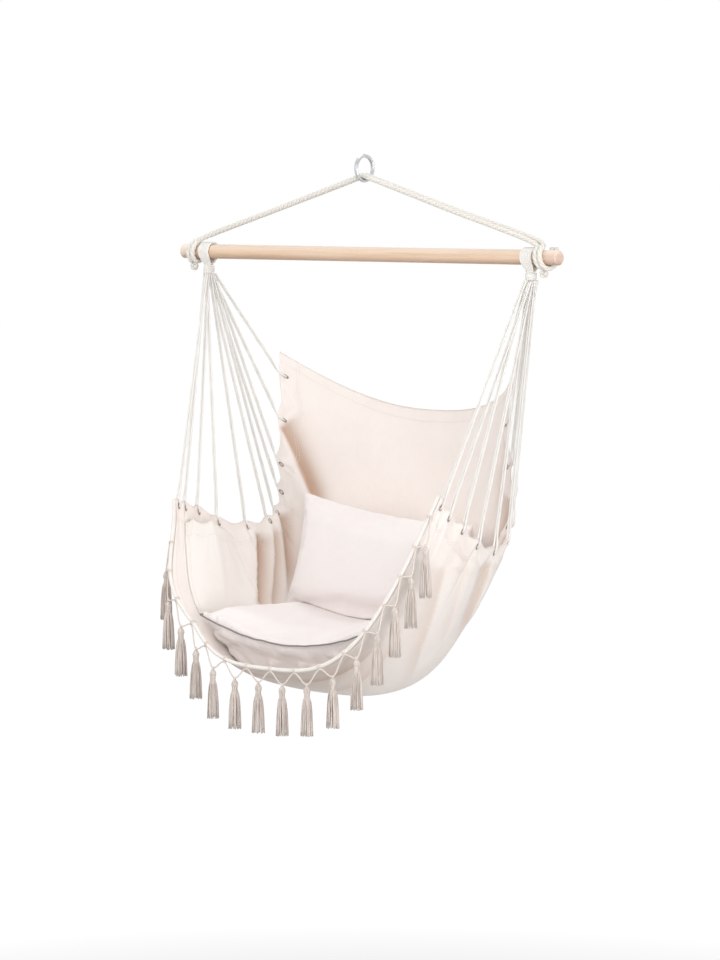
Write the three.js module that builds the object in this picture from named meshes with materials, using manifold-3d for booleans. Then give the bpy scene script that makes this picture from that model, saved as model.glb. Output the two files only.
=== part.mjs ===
// Hammock chair: a canvas seat hung by two fans of cord from a wooden bar, with a seat cushion, a back
// pillow, an arm pocket and a tasselled front edge. The bar hangs by a doubled rope from a steel ring.
// Millimetres, +Z up, the chair faces -Y. The origin is where a hook bears inside the ring.
import * as THREE from "three";
import { mergeVertices } from "three/addons/utils/BufferGeometryUtils.js";
import Module from "manifold-3d";

// Clearance between pieces that touch, and the distance within which corners are one
const clearance = 0.3;
const weldDistance = 1e-4;

// Hanging ring
const ringWireRadius = 4;
const ringBoreRadius = 20;

// Spreader bar and the doubled rope that carries it
const barLength = 975;
const barRadius = 14.3;
const barChamfer = 3;
const ropeRise = 151;
const ropeRadius = 5;
const hitchEndDistance = 36.5;
const hitchTurnsShare = 0.9;
const hitchLeadShare = 0.06;
const coilClearance = 0.8;
const hitchKnotRadius = 8;
const hitchKnotShares = [1.3, 1, 0.8];
const hitchKnotRaiseHeight = 0.8;

// Eye loops of the cord fans, with the whipping below each
const eyeEndDistance = 69.5;
const eyeBandWidth = 28;
const eyeThickness = 5;
const eyeThroatDrop = 27;
const eyeSinkDepth = 1.7;
const whippingRadius = 9.5;
const whippingStretchShare = 1.4;
const whippingGrooveShare = 0.9;
const ribDepthShare = 0.4;
const whippingHeight = 14;
const whippingTurns = 5;

// Fan cords: each is one doubled cord through a slit in the side hem
const cordRadius = 1.8;
const slitWidth = 6;
const slitHeight = 9;
const slitInsetDistance = 15;
const cordGatherLength = 30;
const cordStraightShare = 2.5;
const cordStopShares = [0.035, 0.11, 0.19, 0.29, 0.4, 0.5, 0.58, 0.69, 0.79, 0.89, 0.965];

// Canvas seat
const seatHalfWidth = 340;
const seatDepth = 320;
const seatDrop = 850;
const seatSetbackDistance = 56.4;
const canvasThickness = 2;
const scallopOutsetDistance = 4;
const scallopDrop = 7;
const scallopPower = 8;
const hemCrowding = 0.5;
const edgeSwellDistance = 15;
const edgeSwellStartShare = 0.6;
const edgeSwellEndShare = 0.25;
const floorEndShare = 0.62;
const wallStartShare = 0.4;
const canvasColumns = 16;

// Stations from the front edge to the back edge, as shares of the seat's half width, depth and drop
const middleYShares = [-1.009, -0.82, -0.563, -0.297, -0.031, 0.125, 0.266, 0.344, 0.39, 0.431, 0.469];
const middleZShares = [-0.921, -0.958, -0.986, -1, -0.992, -0.959, -0.9, -0.812, -0.694, -0.541, -0.364];
const hemXShares = [1, 1.006, 1.009, 0.99, 0.947, 0.918, 0.906, 0.9, 0.888, 0.874, 0.882];
const hemYShares = [-0.712, -0.64, -0.5, -0.344, -0.156, 0, 0.063, 0.084, 0.063, 0.063, 0.088];
const hemZShares = [-0.541, -0.56, -0.587, -0.62, -0.635, -0.624, -0.588, -0.535, -0.465, -0.365, -0.25];
const leanZShares = [0.024, 0.012, 0, -0.004, -0.006, -0.005, 0.006, 0.012, 0.014, 0.008, -0.016];
const hollowPowers = [3.3, 3.3, 3, 2.7, 2.3, 1.8, 1.65, 1.7, 1.9, 2.2, 2.4];

// Front edge: rope, zigzag cord and tassels
const edgeRopeRadius = 4;
const fringeCordRadius = 1.6;
const tasselCount = 15;
const tasselSpacing = 62;
const tasselLeadShare = 0.4;
const fringeDrop = 22;
const fringeOutsetDistance = 7;
const tasselLength = 96;
const tasselRadius = 12.5;
const tasselHeadRadius = 7.5;
const tasselHeadShares = [[0, 0], [0.5, 0.2], [1, 1], [0.9, 1.8], [0.65, 2.3], [0.95, 2.9]];
const tasselSkirtShares = [[0.85, 0.6], [1, 1], [0, 1]];
const edgeSteps = 80;
const edgeStepShare = 0.01;

// Arm pocket, sewn inside the arm on the -X side
const pocketThickness = 1.5;
const pocketGapeWidth = 20;
const pocketRestClearance = 2.5;
const pocketSwellPower = 0.7;
const pocketVShares = [0.075, 0.33];
const pocketTShares = [0.6, 0.93];

// Seat cushion
const cushionWidth = 437;
const cushionDepth = 400;
const cushionFrontDistance = 282;
const cushionSeamDrop = 741;
const cushionTiltDrop = 5;
const cushionRestClearance = 3;
const domePower = 0.45;
const cushionSagDepth = 44;
const cushionCrownHeight = 26;
const cushionBellyDepth = 90;
const cushionDrawInDepth = 9;
const pipingRadius = 2.6;
const wallRoomDistance = 25;

// Back pillow
const pillowWidth = 450;
const pillowHeight = 230;
const pillowDrop = 700.5;
const pillowForwardDistance = 46;
const pillowLeanShare = 0.245;
const pillowFrontCrownHeight = 48;
const pillowRearCrownHeight = 120;
const pillowSagDepth = 12;
const pillowDrawInDepth = 14;
const pillowSlumpShare = 0.1;

const barZ = -(2 * ringBoreRadius - clearance - ropeRadius) - ropeRise;
const hitchSpread = barLength / 2 - hitchEndDistance;
const eyeSpread = barLength / 2 - eyeEndDistance;
const wrapRadius = barRadius + coilClearance + ropeRadius;
const laneSpacing = 2 * (ropeRadius + clearance);
const whippingTop = barZ - eyeThroatDrop - eyeSinkDepth;
const cushionMiddleY = seatSetbackDistance - cushionFrontDistance + cushionDepth / 2;
const ropePast = edgeRopeRadius + 4 * clearance;
const tieOutset = edgeRopeRadius + fringeCordRadius + clearance;

const wasm = await Module();
wasm.setup();

const vector = (x, y, z) => new THREE.Vector3(x, y, z);

// A route through chosen points, with as many steps between one pair of points as between any other
class Route extends THREE.CatmullRomCurve3 {
  getUtoTmapping(u) {
    return u;
  }
}

function circleShape(radius, sides) {
  const points = [];
  for (let i = 0; i < sides; i++) {
    const angle = (2 * Math.PI * i) / sides;
    points.push(new THREE.Vector2(radius * Math.cos(angle), radius * Math.sin(angle)));
  }
  return new THREE.Shape(points);
}

// A solid cord along a route
function cordAlong(points, radius, sides, stepsPerSpan) {
  return new THREE.ExtrudeGeometry(circleShape(radius, sides), {
    extrudePath: new Route(points, false, "centripetal"),
    steps: (points.length - 1) * stepsPerSpan,
    bevelEnabled: false,
  });
}

// A closed solid between two grids of points; grids that share their rim need no wall
function solidBetween(outer, inner, walled) {
  const positions = [];
  const put = (a, b, c) => positions.push(...a.toArray(), ...b.toArray(), ...c.toArray());
  const face = (a, b, c, d) => {
    put(a, b, c);
    put(a, c, d);
  };
  const rows = outer.length - 1;
  const columns = outer[0].length - 1;
  for (let i = 0; i < rows; i++)
    for (let j = 0; j < columns; j++) {
      face(outer[i][j], outer[i + 1][j], outer[i + 1][j + 1], outer[i][j + 1]);
      face(inner[i][j], inner[i][j + 1], inner[i + 1][j + 1], inner[i + 1][j]);
    }
  if (walled) {
    for (let i = 0; i < rows; i++) {
      face(outer[i][0], inner[i][0], inner[i + 1][0], outer[i + 1][0]);
      face(outer[i][columns], outer[i + 1][columns], inner[i + 1][columns], inner[i][columns]);
    }
    for (let j = 0; j < columns; j++) {
      face(outer[0][j], outer[0][j + 1], inner[0][j + 1], inner[0][j]);
      face(outer[rows][j], inner[rows][j], inner[rows][j + 1], outer[rows][j + 1]);
    }
  }
  const geometry = new THREE.BufferGeometry();
  geometry.setAttribute("position", new THREE.Float32BufferAttribute(positions, 3));
  return geometry;
}

function grid(rows, columns, pointAt) {
  const points = [];
  for (let i = 0; i <= rows; i++) {
    points.push([]);
    for (let j = 0; j <= columns; j++) points[i].push(pointAt(i / rows, j / columns));
  }
  return points;
}

// A value at v along a list of values for the stations
function alongStations(values, v) {
  const place = v * (values.length - 1);
  const index = Math.min(Math.floor(place), values.length - 2);
  return values[index] + (values[index + 1] - values[index]) * (place - index);
}

// The canvas is an upper surface, swept between a middle curve and a hem curve on each side
const stationY = (share) => seatSetbackDistance + share * seatDepth;
const stationZ = (share) => barZ + share * seatDrop;
const middleCurve = new THREE.CatmullRomCurve3(
  middleYShares.map((share, i) => vector(0, stationY(share), stationZ(middleZShares[i]))),
);
const hemCurve = (side) =>
  new THREE.CatmullRomCurve3(
    hemXShares.map((share, i) =>
      vector(
        side * share * seatHalfWidth,
        stationY(hemYShares[i]),
        stationZ(hemZShares[i] + side * leanZShares[i]),
      ),
    ),
  );
const hemCurves = new Map([-1, 1].map((side) => [side, hemCurve(side)]));

// Whole numbers at the fan cords' stops and halves midway between them, where the hem hangs in scallops
function cordPlace(v) {
  const last = cordStopShares.length - 1;
  if (v <= cordStopShares[0]) return 0;
  if (v >= cordStopShares[last]) return last;
  const next = cordStopShares.findIndex((stop) => stop > v);
  const from = cordStopShares[next - 1];
  return next - 1 + (v - from) / (cordStopShares[next] - from);
}

// A point of the cloth; on the -X side the front edge swells outward and forward below its corner
function canvasAt(side, xShare, v) {
  const reach = xShare ** alongStations(hollowPowers, v);
  const hem = hemCurves.get(side).getPoint(v);
  const middle = middleCurve.getPoint(v);
  const pulled = Math.cos(2 * Math.PI * cordPlace(v));
  const edgeShare = xShare ** scallopPower;
  const swellStart = Math.max(xShare - edgeSwellStartShare, 0) / (1 - edgeSwellStartShare);
  const swellFade = Math.max(1 - v / edgeSwellEndShare, 0) ** 2;
  const swell = side < 0 ? edgeSwellDistance * swellFade * Math.sin(Math.PI * swellStart) ** 2 : 0;
  return vector(
    hem.x * xShare + side * scallopOutsetDistance * edgeShare * pulled - swell,
    middle.y + (hem.y - middle.y) * reach - swell,
    middle.z + (hem.z - middle.z) * reach + (scallopDrop / 2) * edgeShare * (pulled - 1),
  );
}

// t runs from -1 at one hem to 1 at the other, with its steps closer together where the sides are steep
function canvasPoint(t, v) {
  const across = Math.abs(t);
  return canvasAt(t < 0 ? -1 : 1, across * (1 + hemCrowding * (1 - across)), v);
}

// The canvas's outward direction, down under the seat and away from it at the sides and back
function canvasNormal(t, v) {
  const step = 1e-3;
  const alongT = canvasPoint(Math.min(t + step, 1), v).sub(canvasPoint(Math.max(t - step, -1), v));
  const alongV = canvasPoint(t, Math.min(v + step, 1)).sub(canvasPoint(t, Math.max(v - step, 0)));
  return alongV.cross(alongT).normalize();
}

// The v at which the canvas, at a distance x from the middle, reaches a value of one coordinate
function stationAt(x, axis, value, from, to) {
  let low = from;
  let high = to;
  for (let i = 0; i < 24; i++) {
    const v = (low + high) / 2;
    if (canvasNear(x, v)[axis] < value) low = v;
    else high = v;
  }
  return low;
}
const canvasNear = (x, v) =>
  canvasAt(x < 0 ? -1 : 1, Math.abs(x) / hemCurves.get(1).getPoint(v).x, v);
const floorZ = (x, y) => canvasNear(x, stationAt(x, "y", y, 0, floorEndShare)).z;
const wallY = (x, z) => canvasNear(x, stationAt(x, "z", z, wallStartShare, 1)).y;

function solidOf(geometry) {
  const bare = geometry.clone();
  bare.deleteAttribute("normal");
  bare.deleteAttribute("uv");
  const merged = mergeVertices(bare, weldDistance);
  return new wasm.Manifold(
    new wasm.Mesh({
      numProp: 3,
      vertProperties: merged.attributes.position.array,
      triVerts: new Uint32Array(merged.index.array),
    }),
  );
}

function geometryOf(solid) {
  const mesh = solid.getMesh();
  const geometry = new THREE.BufferGeometry();
  geometry.setAttribute("position", new THREE.BufferAttribute(mesh.vertProperties, 3));
  geometry.setIndex(new THREE.BufferAttribute(mesh.triVerts, 1));
  return geometry;
}

// Where one fan cord meets the hem: its edge, its slit and the outward direction there
function slitPlace(side, v) {
  const step = 1e-3;
  const edge = canvasPoint(side, v);
  const perStep = edge.distanceTo(canvasPoint(side * (1 - step), v));
  const t = side * (1 - (slitInsetDistance / perStep) * step);
  return { edge, slit: canvasPoint(t, v), outward: canvasNormal(t, v) };
}
const slits = new Map([-1, 1].map((side) => [side, cordStopShares.map((v) => slitPlace(side, v))]));

function hangingRing() {
  const profile = [];
  const ringRadius = ringBoreRadius + ringWireRadius;
  const sides = 8;
  for (let i = 0; i <= sides; i++) {
    const angle = (-2 * Math.PI * i) / sides;
    profile.push(
      new THREE.Vector2(ringRadius + ringWireRadius * Math.cos(angle), ringWireRadius * Math.sin(angle)),
    );
  }
  const ring = new THREE.LatheGeometry(profile.reverse(), 24);
  return ring.rotateZ(Math.PI / 2).translate(0, 0, -ringBoreRadius);
}

function spreaderBar() {
  const half = barLength / 2;
  const profile = [
    new THREE.Vector2(0, -half),
    new THREE.Vector2(barRadius - barChamfer, -half),
    new THREE.Vector2(barRadius, -half + barChamfer),
    new THREE.Vector2(barRadius, half - barChamfer),
    new THREE.Vector2(barRadius - barChamfer, half),
    new THREE.Vector2(0, half),
  ];
  return new THREE.LatheGeometry(profile, 24).rotateZ(-Math.PI / 2).translate(0, 0, barZ);
}

// One strand of the doubled rope: from its wraps round one end of the bar, through the ring, to the other
function suspensionRope(lane) {
  const laneY = (lane * laneSpacing) / 2;
  const ringReach = ringBoreRadius - ropeRadius - clearance;
  const topZ = -ringBoreRadius - Math.sqrt(ringReach ** 2 - laneY ** 2);
  const wrapStart = lane < 0 ? hitchSpread - laneSpacing : hitchSpread;
  const legEndZ = barZ + wrapRadius + ropeRadius + coilClearance;
  const legEnd = vector(wrapStart - 2 * ropeRadius, laneY, legEndZ);
  const fall = (topZ - legEnd.z) / legEnd.x;
  const leg = [2 * ropeRadius, legEnd.x / 2].map((x) => vector(x, laneY, topZ - fall * x));
  const wraps = [];
  const wrapSteps = 8;
  for (let i = 0; i <= wrapSteps; i++) {
    const turned = hitchLeadShare + (hitchTurnsShare - hitchLeadShare) * (i / wrapSteps);
    const angle = 2 * Math.PI * turned;
    wraps.push(
      vector(
        wrapStart + 2 * laneSpacing * (turned - hitchLeadShare),
        -wrapRadius * Math.sin(angle),
        barZ + wrapRadius * Math.cos(angle),
      ),
    );
  }
  const right = [...leg, legEnd, ...wraps];
  const left = right.map((point) => vector(-point.x, point.y, point.z)).reverse();
  return cordAlong([...left, vector(0, laneY, topZ), ...right], ropeRadius, 6, 2);
}

// The tied end of the doubled rope, tucked under the bar
function hitchKnot(side) {
  const knot = new THREE.SphereGeometry(hitchKnotRadius, 12, 8);
  knot.scale(...hitchKnotShares);
  const drop = wrapRadius + ropeRadius - hitchKnotRaiseHeight + hitchKnotShares[2] * hitchKnotRadius;
  return knot.translate(side * (hitchSpread + laneSpacing / 4), -ropeRadius, barZ - drop);
}

// The band of cords over the bar, ribbed on its outer face, that closes to a throat below
function eyeLoop(side) {
  const ribs = 4;
  const half = eyeThickness / 2;
  const outline = [new THREE.Vector2(eyeBandWidth / 2, half), new THREE.Vector2(-eyeBandWidth / 2, half)];
  for (let i = 0; i <= 2 * ribs; i++)
    outline.push(
      new THREE.Vector2(
        -eyeBandWidth / 2 + (eyeBandWidth * i) / (2 * ribs),
        i % 2 ? -half : -half * ribDepthShare,
      ),
    );
  const bandRadius = barRadius + clearance + half;
  const throat = vector(0, half + clearance, -eyeThroatDrop);
  const touch = Math.atan2(throat.z, throat.y) + Math.acos(bandRadius / throat.length());
  const points = [throat];
  const arcSteps = 8;
  for (let i = 0; i <= arcSteps; i++) {
    const angle = touch + ((Math.PI - 2 * touch) * i) / arcSteps;
    points.push(vector(0, bandRadius * Math.cos(angle), bandRadius * Math.sin(angle)));
  }
  points.push(vector(0, -throat.y, throat.z));
  const band = new THREE.ExtrudeGeometry(new THREE.Shape(outline), {
    extrudePath: new Route(points, false, "centripetal"),
    steps: 2 * (points.length - 1),
    bevelEnabled: false,
  });
  return band.translate(side * eyeSpread, 0, barZ);
}

// The twine wound round the throat of the fan, each turn of the helix beside the last
function whipping(side) {
  const rows = 4 * whippingTurns;
  const profile = [new THREE.Vector2(0, -whippingHeight)];
  for (let i = 0; i <= rows; i++)
    profile.push(new THREE.Vector2(whippingRadius, -whippingHeight + (whippingHeight * i) / rows));
  profile.push(new THREE.Vector2(0, 0));
  const wound = new THREE.LatheGeometry(profile, 16);
  const places = wound.getAttribute("position");
  for (let i = 0; i < places.count; i++) {
    const round = Math.atan2(places.getZ(i), places.getX(i)) / (2 * Math.PI);
    const turn = (whippingTurns * places.getY(i)) / whippingHeight - round;
    const crest = Math.abs(Math.sin(Math.PI * turn));
    const reach = whippingGrooveShare + (1 - whippingGrooveShare) * crest;
    places.setXYZ(i, places.getX(i) * reach, places.getY(i), places.getZ(i) * reach);
  }
  wound.scale(1, 1, whippingStretchShare).rotateX(Math.PI / 2);
  return wound.translate(side * eyeSpread, 0, whippingTop);
}

// One doubled cord: down from the whipping, in through its slit in the hem and up again inside the edge
function fanCord(side, index) {
  const { edge, slit, outward } = slits.get(side)[index];
  const fromBack = cordStopShares.length - 1 - index;
  const row = (cordStopShares.length - 1) / 4 - Math.floor(fromBack / 2);
  const column = fromBack % 2 ? 1 : -1;
  const pitch = 2 * cordRadius + 3 * clearance;
  const top = vector(
    side * (eyeSpread + column * pitch),
    row * pitch,
    whippingTop - whippingHeight - clearance,
  );
  const heading = edge.clone().sub(top).normalize();
  top.z -= cordRadius * Math.hypot(heading.x, heading.y);
  const middle = outward.clone().multiplyScalar(canvasThickness / 2);
  const standoff = outward.clone().multiplyScalar(canvasThickness / 2 + 2 * clearance + cordRadius);
  const pairAtTop = vector(outward.x < 0 ? -1 : 1, 0, 0).multiplyScalar(pitch / 2);
  const pairBelow = pairAtTop.clone().projectOnPlane(heading).setLength(pitch / 2);
  const gathered = (share) => edge.clone().add(top.clone().sub(edge).setLength(share * cordGatherLength));
  const strand = (sign) => [
    top.clone().addScaledVector(pairAtTop, sign),
    gathered(cordStraightShare).addScaledVector(pairBelow, sign),
    gathered(1).addScaledVector(pairBelow, sign),
    edge.clone().add(middle).addScaledVector(standoff, sign),
    slit.clone().add(middle).addScaledVector(standoff, sign),
  ];
  return cordAlong([...strand(1), ...strand(-1).reverse()], cordRadius, 6, 2);
}

// The hammock cloth, one sheet with its slits cut along both side hems
function canvasSeat() {
  const rows = [0];
  for (const [i, stop] of cordStopShares.entries()) {
    if (i > 0) rows.push((stop + cordStopShares[i - 1]) / 2);
    rows.push(stop);
  }
  rows.push(1);
  const last = rows.length - 1;
  const sheetAt = (offset) =>
    grid(last, canvasColumns, (rowShare, across) => {
      const v = rows[Math.round(rowShare * last)];
      const t = 2 * across - 1;
      return canvasPoint(t, v).addScaledVector(canvasNormal(t, v), offset);
    });
  let cloth = solidOf(solidBetween(sheetAt(canvasThickness), sheetAt(0), true));
  const depth = 8 * canvasThickness;
  for (const { edge, slit, outward } of [...slits.get(-1), ...slits.get(1)]) {
    const cutter = new THREE.BoxGeometry(slitHeight, slitWidth, depth);
    const acrossHem = edge.clone().sub(slit).cross(outward).cross(outward).normalize();
    const alongHem = acrossHem.clone().cross(outward);
    cutter.applyMatrix4(new THREE.Matrix4().makeBasis(alongHem, acrossHem, outward));
    cutter.translate(slit.x, slit.y, slit.z);
    cloth = cloth.subtract(solidOf(cutter));
  }
  return geometryOf(cloth);
}

// The front edge of the cloth, sampled: its place, the way out past the edge and the way out from the cloth
const edgeSamples = [];
for (let i = 0; i <= edgeSteps; i++) {
  const t = (2 * i) / edgeSteps - 1;
  const outward = canvasNormal(t, 0);
  const point = canvasPoint(t, 0).addScaledVector(outward, canvasThickness / 2);
  const past = canvasPoint(t, 0).sub(canvasPoint(t, edgeStepShare)).normalize();
  const distance = i ? edgeSamples[i - 1].distance + point.distanceTo(edgeSamples[i - 1].point) : 0;
  edgeSamples.push({ point, past, outward, distance });
}
const edgeHalf = edgeSamples[edgeSteps].distance / 2;

// A place beside the front edge, at a distance along it from its middle
function besideEdge(distance, past, outward) {
  const wanted = distance + edgeHalf;
  const next = Math.max(1, edgeSamples.findIndex((sample) => sample.distance >= wanted));
  const from = edgeSamples[next - 1];
  const to = edgeSamples[next];
  const share = (wanted - from.distance) / (to.distance - from.distance);
  return from.point
    .clone()
    .lerp(to.point, share)
    .addScaledVector(from.past, past)
    .addScaledVector(from.outward, outward);
}

function frontRope() {
  const points = [];
  const reach = edgeHalf - edgeRopeRadius;
  const spans = 26;
  for (let i = 0; i <= spans; i++) points.push(besideEdge(((2 * i) / spans - 1) * reach, ropePast, 0));
  return cordAlong(points, edgeRopeRadius, 8, 1);
}

const tasselPlaces = [];
for (let i = 0; i < tasselCount; i++) {
  const distance = (i - (tasselCount - 1) / 2 + tasselLeadShare) * tasselSpacing;
  const rise = besideEdge(distance + edgeRopeRadius, 0, 0).z - besideEdge(distance, 0, 0).z;
  const steep = Math.abs(rise) / edgeRopeRadius;
  const knot = besideEdge(distance, ropePast, tieOutset + steep * fringeOutsetDistance);
  knot.z -= fringeDrop;
  tasselPlaces.push({ distance, knot });
}

// The zigzag cord under the front rope, from tie to tie, with a tassel at the foot of each V
function fringeCord() {
  const tie = (distance) => besideEdge(distance, ropePast, tieOutset);
  const points = [tie(tasselPlaces[0].distance - tasselSpacing / 2)];
  for (const { distance, knot } of tasselPlaces)
    points.push(knot.clone(), tie(distance + tasselSpacing / 2));
  return cordAlong(points, fringeCordRadius, 6, 2);
}

function tassel({ knot }) {
  const outlinePoint = (radius, length) => (shares) =>
    new THREE.Vector2(radius * shares[0], -length * shares[1]);
  const profile = [
    ...tasselHeadShares.map(outlinePoint(tasselHeadRadius, tasselHeadRadius)),
    ...tasselSkirtShares.map(outlinePoint(tasselRadius, tasselLength)),
  ].reverse();
  const body = new THREE.LatheGeometry(profile, 8).rotateX(Math.PI / 2);
  return body.translate(knot.x, knot.y, knot.z - fringeCordRadius - clearance);
}

// The patch pocket inside one arm, open along its upper edge
function armPocket() {
  const cells = 10;
  const layer = (offset) =>
    grid(cells, cells, (alongShare, upShare) => {
      const v = pocketVShares[0] + (pocketVShares[1] - pocketVShares[0]) * alongShare;
      const t = -(pocketTShares[1] + (pocketTShares[0] - pocketTShares[1]) * (1 - upShare));
      const swell = Math.sin(Math.PI * alongShare) * upShare ** pocketSwellPower;
      const inward = pocketRestClearance + pocketGapeWidth * swell + offset;
      return canvasPoint(t, v).addScaledVector(canvasNormal(t, v), -inward);
    });
  return solidBetween(layer(pocketThickness), layer(0), true);
}

// Equal steps of a share from -1 to 1, drawn together at both ends
const crowded = (share) => Math.sin(Math.PI * (share - 0.5));

// The seam of the cushion, at p across and q along from -1 to 1; its rear side lies against the canvas
function cushionSeam(p, q) {
  const x = (cushionWidth / 2) * p - cushionDrawInDepth * p * (1 - q * q);
  const sideways = x / (cushionWidth / 2);
  const z = barZ - cushionSeamDrop + cushionSagDepth * sideways ** 2 - cushionTiltDrop * (q + 1);
  const halfDepth = cushionDepth / 2;
  const room = wallY(x, z) - wallRoomDistance - cushionMiddleY;
  const half = q > 0 ? Math.min(halfDepth, room) : halfDepth - cushionDrawInDepth * (1 - p * p);
  return vector(x, cushionMiddleY + half * q, z);
}

const dome = (p, q) => Math.max((1 - p * p) * (1 - q * q), 0) ** domePower;

function seatCushion() {
  const rows = 14;
  const columns = 18;
  const face = (height) =>
    grid(rows, columns, (alongShare, acrossShare) => {
      const p = crowded(acrossShare);
      const q = crowded(alongShare);
      const seam = cushionSeam(p, q);
      const z = seam.z + height * dome(p, q);
      return vector(seam.x, seam.y, Math.max(z, floorZ(seam.x, seam.y) + cushionRestClearance));
    });
  return solidBetween(face(-cushionBellyDepth), face(cushionCrownHeight), false);
}

// The welt round the seat cushion, butted at the middle of its rear side
function cushionPiping() {
  const offset = pipingRadius + 8 * clearance;
  const spans = 7;
  const corners = [
    [0, 1],
    [1, 1],
    [1, -1],
    [-1, -1],
    [-1, 1],
    [0, 1],
  ];
  const points = [];
  for (let side = 0; side < corners.length - 1; side++) {
    const from = corners[side];
    const to = corners[side + 1];
    for (let i = 0; i < spans; i++) {
      const p = from[0] + ((to[0] - from[0]) * i) / spans;
      const q = from[1] + ((to[1] - from[1]) * i) / spans;
      points.push(cushionSeam(p, q).add(vector(offset * p, offset * q, 0)));
    }
  }
  points.push(cushionSeam(0, 1).add(vector(0, offset, 0)));
  points[0].x += pipingRadius;
  points[points.length - 1].x -= pipingRadius;
  return cordAlong(points, pipingRadius, 6, 1);
}

function backPillow() {
  const rows = 12;
  const columns = 16;
  const up = vector(0, pillowLeanShare, Math.sqrt(1 - pillowLeanShare ** 2));
  const base = vector(0, seatSetbackDistance - pillowForwardDistance, barZ - pillowDrop);
  const face = (depth) =>
    grid(rows, columns, (upShare, acrossShare) => {
      const p = crowded(acrossShare);
      const q = crowded(upShare);
      const x = (pillowWidth / 2) * p - pillowDrawInDepth * p * (1 - q * q);
      const sag = (q > 0 ? pillowDrawInDepth : pillowSagDepth) * (1 - p * p) * Math.abs(q);
      const slump = (pillowSlumpShare * x * (q + 1)) / 2;
      const seam = base.clone().addScaledVector(up, (pillowHeight / 2) * (q + 1) - sag - slump);
      const y = seam.y + depth * dome(p, q);
      return vector(x, Math.min(y, wallY(x, seam.z) - cushionRestClearance), seam.z);
    });
  return solidBetween(face(pillowRearCrownHeight), face(-pillowFrontCrownHeight), false);
}

const wood = { color: 0xe6cba8, roughness: 0.6 };
const steel = { color: 0xb8bcc0, roughness: 0.3, metalness: 0.9 };
const rope = { color: 0xeae3d6, roughness: 0.95 };
const cotton = { color: 0xefe6d6, roughness: 0.95 };
const canvas = { color: 0xf0e8da, roughness: 0.95 };
const upholstery = { color: 0xf2ebe0, roughness: 0.95 };
const piping = { color: 0xa89f97, roughness: 0.9 };
const taupe = { color: 0xc9bdb2, roughness: 0.95 };

const chair = new THREE.Group();

function add(name, geometry, look) {
  const mesh = new THREE.Mesh(geometry, new THREE.MeshStandardMaterial(look));
  mesh.name = name;
  chair.add(mesh);
}

const numbered = (stem, index) => `${stem}_${String(index + 1).padStart(2, "0")}`;
const sideName = (side) => (side < 0 ? "left" : "right");

add("hanging_ring", hangingRing(), steel);
add("suspension_rope_front", suspensionRope(-1), rope);
add("suspension_rope_rear", suspensionRope(1), rope);
add("spreader_bar", spreaderBar(), wood);
add("canvas_seat", canvasSeat(), canvas);
for (const side of [-1, 1]) {
  add(`hitch_knot_${sideName(side)}`, hitchKnot(side), rope);
  add(`eye_loop_${sideName(side)}`, eyeLoop(side), cotton);
  add(`whipping_${sideName(side)}`, whipping(side), cotton);
  for (let i = 0; i < cordStopShares.length; i++)
    add(numbered(`fan_cord_${sideName(side)}`, i), fanCord(side, i), cotton);
}
add("front_edge_rope", frontRope(), rope);
add("fringe_cord", fringeCord(), taupe);
tasselPlaces.forEach((place, i) => add(numbered("tassel", i), tassel(place), taupe));
add("arm_pocket", armPocket(), canvas);
add("seat_cushion", seatCushion(), upholstery);
add("cushion_piping", cushionPiping(), piping);
add("back_pillow", backPillow(), upholstery);

export default chair;
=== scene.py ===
"""Hammock chair: canvas seat on two fans of cord, with cushions, an arm pocket and a tasselled front edge."""
import math
import random

import bpy
import numpy as np
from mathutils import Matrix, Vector, noise
from mathutils.bvhtree import BVHTree


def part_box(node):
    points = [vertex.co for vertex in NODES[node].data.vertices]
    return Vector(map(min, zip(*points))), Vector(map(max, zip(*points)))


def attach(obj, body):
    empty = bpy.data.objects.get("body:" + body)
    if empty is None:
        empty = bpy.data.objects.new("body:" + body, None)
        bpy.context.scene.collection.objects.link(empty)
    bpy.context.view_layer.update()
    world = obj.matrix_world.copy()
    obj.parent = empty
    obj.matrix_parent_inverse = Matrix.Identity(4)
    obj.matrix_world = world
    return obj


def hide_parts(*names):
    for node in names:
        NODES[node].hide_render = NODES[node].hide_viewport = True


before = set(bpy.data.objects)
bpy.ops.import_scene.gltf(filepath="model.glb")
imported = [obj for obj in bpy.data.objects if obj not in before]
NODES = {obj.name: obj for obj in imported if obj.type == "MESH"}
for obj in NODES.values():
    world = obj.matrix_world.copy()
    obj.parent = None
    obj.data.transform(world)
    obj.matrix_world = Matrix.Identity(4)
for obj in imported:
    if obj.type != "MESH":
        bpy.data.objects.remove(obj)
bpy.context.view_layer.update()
MM = 0.001
TURN = 2 * math.pi
SIDES = ((-1, "left"), (1, "right"))

# Sizes of the frame and cords, in millimetres unless the comment says otherwise
CLEARANCE = 0.3
RING_BORE = 20
BAR_LENGTH = 975
BAR_RADIUS = 14.3
ROPE_RADIUS = 5
ROPE_RISE = 151
ROPE_LAY = 34
BAR_Z = -(2 * RING_BORE - CLEARANCE - ROPE_RADIUS) - ROPE_RISE
COIL_CLEARANCE = 0.8
COIL_TURNS = (0.06, 0.9)  # where a coil begins and ends, in turns
HITCH_END = 36.5
HITCH_X = BAR_LENGTH / 2 - HITCH_END
EYE_END = 69.5
EYE_X = BAR_LENGTH / 2 - EYE_END
EYE_THROAT = 27
EYE_SINK = 1.7
EYE_BAND = 28
EYE_THICKNESS = 5
WHIPPING_RADIUS = 9.5
WHIPPING_STRETCH = 1.4  # times as deep as wide
WHIPPING_HEIGHT = 14
WHIPPING_TOP = BAR_Z - EYE_THROAT - EYE_SINK
CORD_RADIUS = 1.8
CORD_GATHER = 30
CORD_STRAIGHT = 2.5  # gathers from the hem to where a cord's strands run straight
SLIT_INSET = 15
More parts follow.
